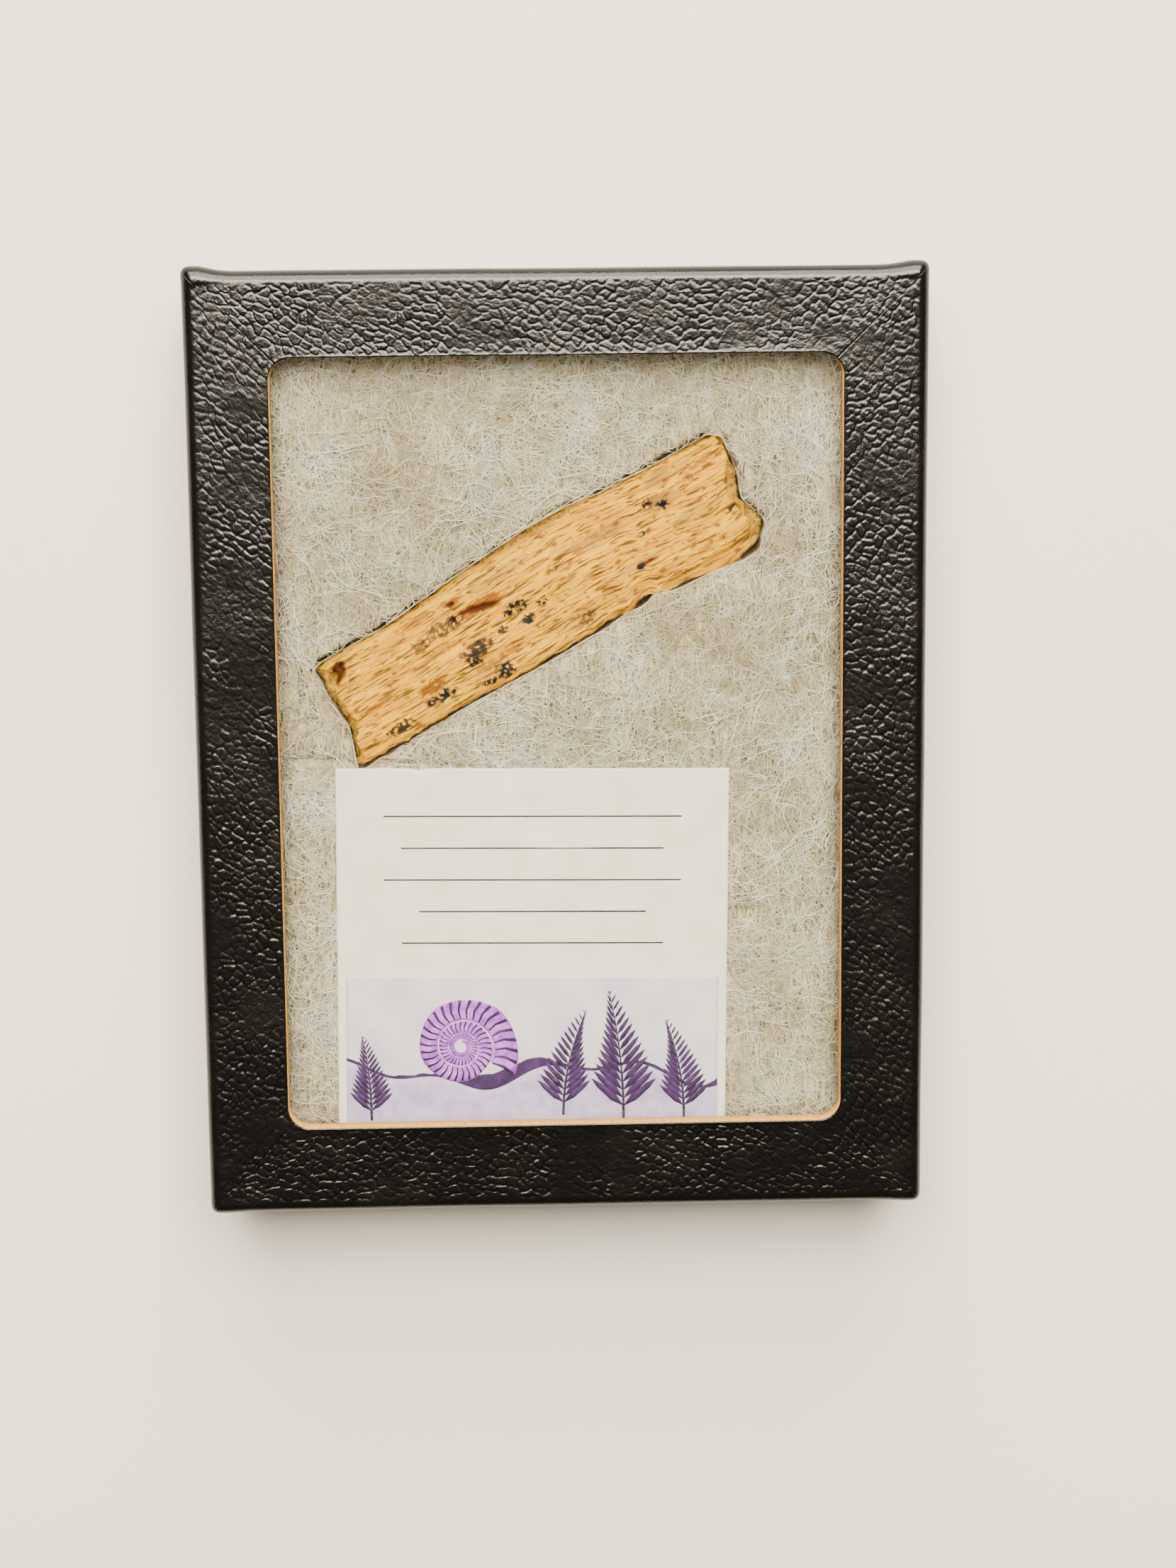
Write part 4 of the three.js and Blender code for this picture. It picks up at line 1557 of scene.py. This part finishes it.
@dataclass
class Batting:
    """The polyester fibre that fills the tray: a soft mass under a web of loose fibres."""

    bone: Bone
    card: LabelCard
    low: Array = field(default_factory=lambda: np.array(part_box("fibre_pad")[0]) / MM)
    high: Array = field(default_factory=lambda: np.array(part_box("fibre_pad")[1]) / MM)
    crown: float = 15.55
    edge: float = 12.4
    fall: float = 9.0
    slack: float = 0.48
    seat: float = 8.7
    pitch: float = 0.4
    under_glass: float = 15.88
    crease: tuple[tuple[float, float], ...] = ((-31.1, -0.9), (-21.8, -1.25), (-15.4, -1.6), (-10.3, -2.0))
    fibres: int = 13500
    batches: int = 4
    segments: int = 8
    radius: float = 0.068
    deepest_push: float = 1.2
    skin: float = 0.3
    pane_gap: float = 0.05
    card_gap: float = 0.25
    fibre_gap: float = 0.12
    bone_gap: float = 0.06
    start_low: tuple[float, float] = (-33.5, -45.5)
    start_high: tuple[float, float] = (33.5, 46.0)
    fibre_mm: tuple[float, float] = (4.0, 10.0)
    shown: tuple[float, float] = (35.5, 47.5)
    shown_middle: float = 0.5
    seed: int = 120

    def crease_depth(self, x: Array, y: Array) -> Array:
        """Give the depth of the dark crease above the card.

        Args:
            x: places along the box's X.
            y: places along its Y.

        Returns:
            A narrow furrow along its line: a bell across it that fades out at its two ends.
        """
        left, right = self.crease[0][0], self.crease[-1][0]
        inside = smooth(x, left - 1, left + 1) * smooth(x, right + 2, right - 1)
        return 0.9 * np.exp(-((y - along(self.crease, x)) / 0.22) ** 2) * inside

    def top(self, x: Array, y: Array) -> Array:
        """Give the height of the fibres' free surface.

        Args:
            x: places along the box's X.
            y: places along its Y.

        Returns:
            A flat crown that falls away in a smooth step near the tray's walls, most widely at the top
            of the display, with slow lumps and the crease, pressed flat under the pane.
        """
        from_edge = np.minimum.reduce([x - self.low[0], self.high[0] - x, y - self.low[1],
                                       self.slack * (self.high[1] - y)])
        places = pack(x, y)
        lumps = 0.32 * fractal(places / 7.0, self.seed, 3) + 0.16 * fractal(places / 2.4, self.seed + 4, 2)
        height = self.edge + (self.crown - self.edge) * smooth(from_edge, 0.0, self.fall) + lumps
        return np.minimum(height - self.crease_depth(x, y), self.under_glass - self.pane_gap)

    def mass(self, finish: Finish) -> Piece:
        """Build the soft mass: a closed pad with seats pressed into it for the bone and the card.

        Args:
            finish: the fibre mass's material.

        Returns:
            The piece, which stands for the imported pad.
        """
        grid_x, grid_y = np.meshgrid(*(np.linspace(low, high, round((high - low) / self.pitch))
                                       for low, high in zip(self.low[:2], self.high[:2])))
        height = self.top(grid_x, grid_y) - self.skin
        seat = smooth(self.bone.distance(grid_x, grid_y), 0.45, 0.15)
        height = height * (1 - seat) + self.seat * seat
        under_card = self.card.top - self.card.thickness - self.card_gap
        height = np.where(self.card.distance(grid_x, grid_y) < 0.3, np.minimum(height, under_card), height)
        points, faces = slab(pack(grid_x, grid_y, height), pack(grid_x, grid_y, self.low[2]))
        piece = build("fibre_mass", points, faces, finish)
        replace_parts(piece, "fibre_pad")
        return piece

    def lines(self, rng: np.random.Generator, count: int) -> Array:
        """Lay loose fibres over the mass.

        Args:
            rng: the seeded source of chance.
            count: how many fibres.

        Returns:
            The fibres kept, by points, by three. Each starts at a random place and walks even steps; its
            heading is a slow field's, plus its own, plus a sine crimp and a bend. One that would cross the
            bone is left out, one that grazes it is pushed out of its outline, and all dip below the card
            and keep under the pane.
        """
        steps = self.segments + 1
        start = rng.uniform(self.start_low, self.start_high, (count, 2))
        length = rng.uniform(*self.fibre_mm, count)
        flow = 2.2 * noise(start / 13.0, self.seed + 60)
        heading = flow + rng.normal(0.0, 0.85, count) + math.pi * rng.integers(0, 2, count)
        share = np.linspace(0, 1, steps)[None, :]
        crimp = rng.uniform(0.1, 0.75, count)[:, None] * np.sin(
            share * rng.uniform(4.0, 13.0, count)[:, None] + rng.uniform(0, 6.3, count)[:, None])
        bend = rng.normal(0.0, 0.9, count)[:, None] * (share - 0.5)
        angle = heading[:, None] + crimp + bend
        step = (length / self.segments)[:, None]
        x = start[:, :1] + np.cumsum(step * np.cos(angle), axis=1)
        y = start[:, 1:] + np.cumsum(step * np.sin(angle), axis=1)
        outside = self.bone.distance(x, y).min(axis=1) > -self.deepest_push
        x, y = self.pushed(*self.pushed(x, y))
        depth = rng.beta(1.2, 1.4, count)[:, None] * 0.6 - 0.15
        wave = 0.16 * np.sin(share * rng.uniform(3, 9, count)[:, None] + rng.uniform(0, 6.3, count)[:, None])
        z = np.minimum(self.top(x, y) - depth + wave, self.under_glass)
        card_limit = self.card.top - self.card.thickness - self.fibre_gap
        z = np.minimum(z, card_limit + 1.3 * np.maximum(0, self.card.distance(x, y) - 0.1))
        return pack(x, y, z)[outside]

    def pushed(self, x: Array, y: Array) -> tuple[Array, Array]:
        """Move places inside the bone's outline, or too near it, out across the nearest edge.

        Args:
            x: places along the box's X.
            y: places along its Y.

        Returns:
            The places moved along the slope of the distance, by what it lacks.
        """
        gap, reach = 0.02, 0.14
        away = self.bone.distance(x, y)
        slope_x = (self.bone.distance(x + gap, y) - away) / gap
        slope_y = (self.bone.distance(x, y + gap) - away) / gap
        push = np.maximum(0, reach - away)
        return x + slope_x * push, y + slope_y * push

    def tubes(self, lines: Array, radii: Array) -> tuple[Array, list[Array]]:
        """Make a closed three-sided tube along each line.

        Args:
            lines: fibres by points by three.
            radii: the radius of each fibre.

        Returns:
            The points and faces. A ring is the line's point plus the radius times the sine and cosine
            of three even angles, along the sideways and upward directions there.
        """
        count, steps = lines.shape[:2]
        way = np.gradient(lines, axis=1)
        way /= np.linalg.norm(way, axis=-1, keepdims=True) + 1e-9
        side = pack(-way[..., 1], way[..., 0], 0.0)
        side /= np.linalg.norm(side, axis=-1, keepdims=True) + 1e-9
        over = np.cross(way, side)
        taper = np.sqrt(np.clip(1.02 - np.abs(np.linspace(-1, 1, steps)) ** 4, 0.05, 1))[None, :, None, None]
        angle = np.array([math.pi / 2, math.pi * 7 / 6, math.pi * 11 / 6])[None, None, :, None]
        ring = np.cos(angle) * side[:, :, None] + np.sin(angle) * over[:, :, None]
        points = lines[:, :, None] + ring * taper * radii[:, None, None, None]
        base = (np.arange(count) * steps * 3)[:, None]
        quads = (grid_faces(steps, 3, close_columns=True)[None] + base[..., None]).reshape(-1, 4)
        ends = np.concatenate([base + np.array([[2, 1, 0]]), base + (steps - 1) * 3 + np.array([[0, 1, 2]])])
        return points.reshape(-1, 3), [quads, ends]

    def web(self, finish: Finish) -> list[Piece]:
        """Build the loose fibres in batches.

        Args:
            finish: the polyester's material.

        Returns:
            The pieces. A fibre that comes too near the bone, lies under the card or has its middle well
            outside the window is left out.
        """
        rng = np.random.default_rng(self.seed)
        pieces = []
        for batch in range(self.batches):
            lines = self.lines(rng, self.fibres // self.batches)
            middle = lines[:, lines.shape[1] // 2]
            hidden = self.card.distance(lines[..., 0], lines[..., 1]).max(axis=1) < -0.5
            between = (lines[:, 1:] + lines[:, :-1]) / 2
            inside = (self.bone.distance(lines[..., 0], lines[..., 1]) < self.bone_gap).any(axis=1)
            inside |= (self.bone.distance(between[..., 0], between[..., 1]) < self.bone_gap).any(axis=1)
            beyond = np.abs(middle[:, 0]) > self.shown[0]
            beyond |= np.abs(middle[:, 1] - self.shown_middle) > self.shown[1]
            lines = lines[~(hidden | inside | beyond)]
            radii = self.radius * rng.uniform(0.55, 1.35, len(lines))
            points, faces = self.tubes(lines, radii)
            tone = np.repeat(rng.beta(0.9, 0.9, len(lines)), len(points) // len(lines))
            piece = build(f"loose_fibres_{batch + 1}", points, faces, finish, {"tone": tone})
            pieces.append(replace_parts(piece, "fibre_pad"))
        return pieces


@dataclass
class Pins:
    """The two steel pins that hold the lid on the tray."""

    shank: float = 0.35
    head: float = 0.85
    head_height: float = 0.5
    length: float = 20.0
    point: float = 1.5
    height: float = 6.5
    steps: int = 40

    def make(self, finish: Finish) -> list[Piece]:
        """Build each pin by turning its profile about its axis.

        Args:
            finish: the pin steel.

        Returns:
            The two pieces.
        """
        dome = np.linspace(0, math.pi / 2, 9)
        profile = [(0.02, -self.length), (self.shank, self.point - self.length), (self.shank, -0.05),
                   (self.head * 0.9, 0.0), (self.head, 0.08)]
        profile += [(self.head * math.cos(t) + 0.01, 0.08 + (self.head_height - 0.08) * math.sin(t)) for t in dome]
        radius, way = np.array(profile).T
        angle = np.linspace(0, 2 * math.pi, self.steps, endpoint=False)
        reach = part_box("lid")[1][0] / MM
        pieces = []
        first = np.arange(self.steps)[None, :]
        faces = [grid_faces(len(way), self.steps, close_columns=True), first[:, ::-1],
                 first + (len(way) - 1) * self.steps]
        ring_y, ring_z = radius[:, None] * np.cos(angle), self.height + radius[:, None] * np.sin(angle)
        for name, node, side in (("pin_wire_left", "pin_left", -1), ("pin_wire_right", "pin_right", 1)):
            points = pack(side * (reach + way)[:, None], ring_y, ring_z)
            piece = build(name, points, faces, finish)
            pieces.append(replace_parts(piece, node))
        return pieces


@dataclass(frozen=True)
class Softbox:
    """A rectangular soft light, in millimetres and watts."""

    name: str
    place: Place
    aim: Place
    size: tuple[float, float]
    power: float
    colour: str

    def hang(self) -> None:
        """Hang it at its place, facing the point that it is aimed at."""
        data = bpy.data.lights.new(self.name, "AREA")
        data.shape, data.size, data.size_y = "RECTANGLE", self.size[0] * MM, self.size[1] * MM
        data.energy, data.color = self.power, linear(self.colour)[:3]
        back = np.array(self.place) - np.array(self.aim)
        back /= np.linalg.norm(back)
        side = np.cross((0.0, 1.0, 0.0), back)
        side /= np.linalg.norm(side)
        stand(self.name, data, (side, np.cross(back, side), back), self.place)


def stand(name: str, data: bpy.types.ID, axes: tuple[Array, Array, Array], place: Place) -> Piece:
    """Stand a light or a camera in the scene.

    Args:
        name: its name.
        data: the light or camera.
        axes: its right, upward and backward directions.
        place: where it stands, in millimetres.

    Returns:
        The new object.
    """
    matrix = np.eye(4)
    matrix[:3, :3] = np.stack(axes, axis=-1)
    matrix[:3, 3] = np.array(place) * MM
    thing = bpy.data.objects.new(name, data)
    thing.matrix_world = Matrix(matrix.tolist())
    bpy.context.scene.collection.objects.link(thing)
    return thing


@dataclass
class Studio:
    """The pale floor, the soft lights and the camera that looks down at the box, in millimetres."""

    eye: Place = (-6.18, 55.15, 349.71)
    right: Place = (0.9995, -0.0098, 0.0292)
    up: Place = (0.0147, 0.9845, -0.1749)
    lens: float = 68.35
    sensor: float = 36.0
    floor_size: float = 3000.0
    floor_tone: str = "#b0aca4"
    world_tone: str = "#e6e9ee"
    world_strength: float = 0.06
    lights: tuple[Softbox, ...] = (
        Softbox("overhead_softbox", (0.0, 445.0, 891.0), (0.0, 20.0, 15.0), (760.0, 520.0), 68.0, "#fff5e0"),
        Softbox("rim_softbox", (0.0, 1000.0, 540.0), (0.0, 0.0, 15.0), (900.0, 640.0), 45.0, "#fff8ea"),
    )

    def camera(self) -> None:
        """Set up the camera; its third direction is the cross product of the other two."""
        right = np.array(self.right) / np.linalg.norm(self.right)
        up = np.array(self.up) - right * np.dot(self.up, right)
        up /= np.linalg.norm(up)
        data = bpy.data.cameras.new("camera")
        data.lens, data.sensor_width, data.clip_start = self.lens, self.sensor, 0.01
        bpy.context.scene.camera = stand("camera", data, (right, up, np.cross(right, up)), self.eye)

    def floor(self) -> None:
        """Lay the pale floor."""
        half = self.floor_size / 2 * MM
        mesh = bpy.data.meshes.new("floor")
        corners = [(-half, -half, 0), (half, -half, 0), (half, half, 0), (-half, half, 0)]
        mesh.from_pydata(corners, [], [(0, 1, 2, 3)])
        floor = bpy.data.objects.new("floor", mesh)
        bpy.context.scene.collection.objects.link(floor)
        material, tree = new_material("pale_floor")
        surface(tree, {"Base Color": self.floor_tone, "Roughness": 0.9})
        mesh.materials.append(material)

    def set_up(self) -> None:
        """Light the scene and place the floor and camera."""
        world = bpy.data.worlds.new("studio")
        world.use_nodes = True
        background = world.node_tree.nodes["Background"]
        background.inputs["Color"].default_value = linear(self.world_tone)
        background.inputs["Strength"].default_value = self.world_strength
        bpy.context.scene.world = world
        for light in self.lights:
            light.hang()
        self.floor()
        self.camera()


def main() -> None:
    """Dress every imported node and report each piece."""
    logging.basicConfig(level=logging.INFO, format="%(name)s: %(message)s")
    box = Box()
    bone = Bone()
    card = LabelCard()
    batting = Batting(bone, card)
    pieces = LidCover(box).make(LeatherPaper().material())
    pieces.append(LidBoard(box).make(CutBoard().material()))
    pieces.append(bone.make(FossilBone().material()))
    pieces += card.make()
    pieces.append(batting.mass(FibreMass().material()))
    pieces += batting.web(PolyesterFibre().material())
    pieces += Pins().make(PinSteel().material())
    for node, finish in (("glass_pane", WindowGlass().material()), ("tray", LiningPaper().material())):
        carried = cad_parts[node]
        carried.data.materials.clear()
        carried.data.materials.append(finish)
    Studio().set_up()
    for piece in pieces:
        LOG.info("%s: %d faces", piece.name, len(piece.data.polygons))


if __name__ == "__main__":
    main()
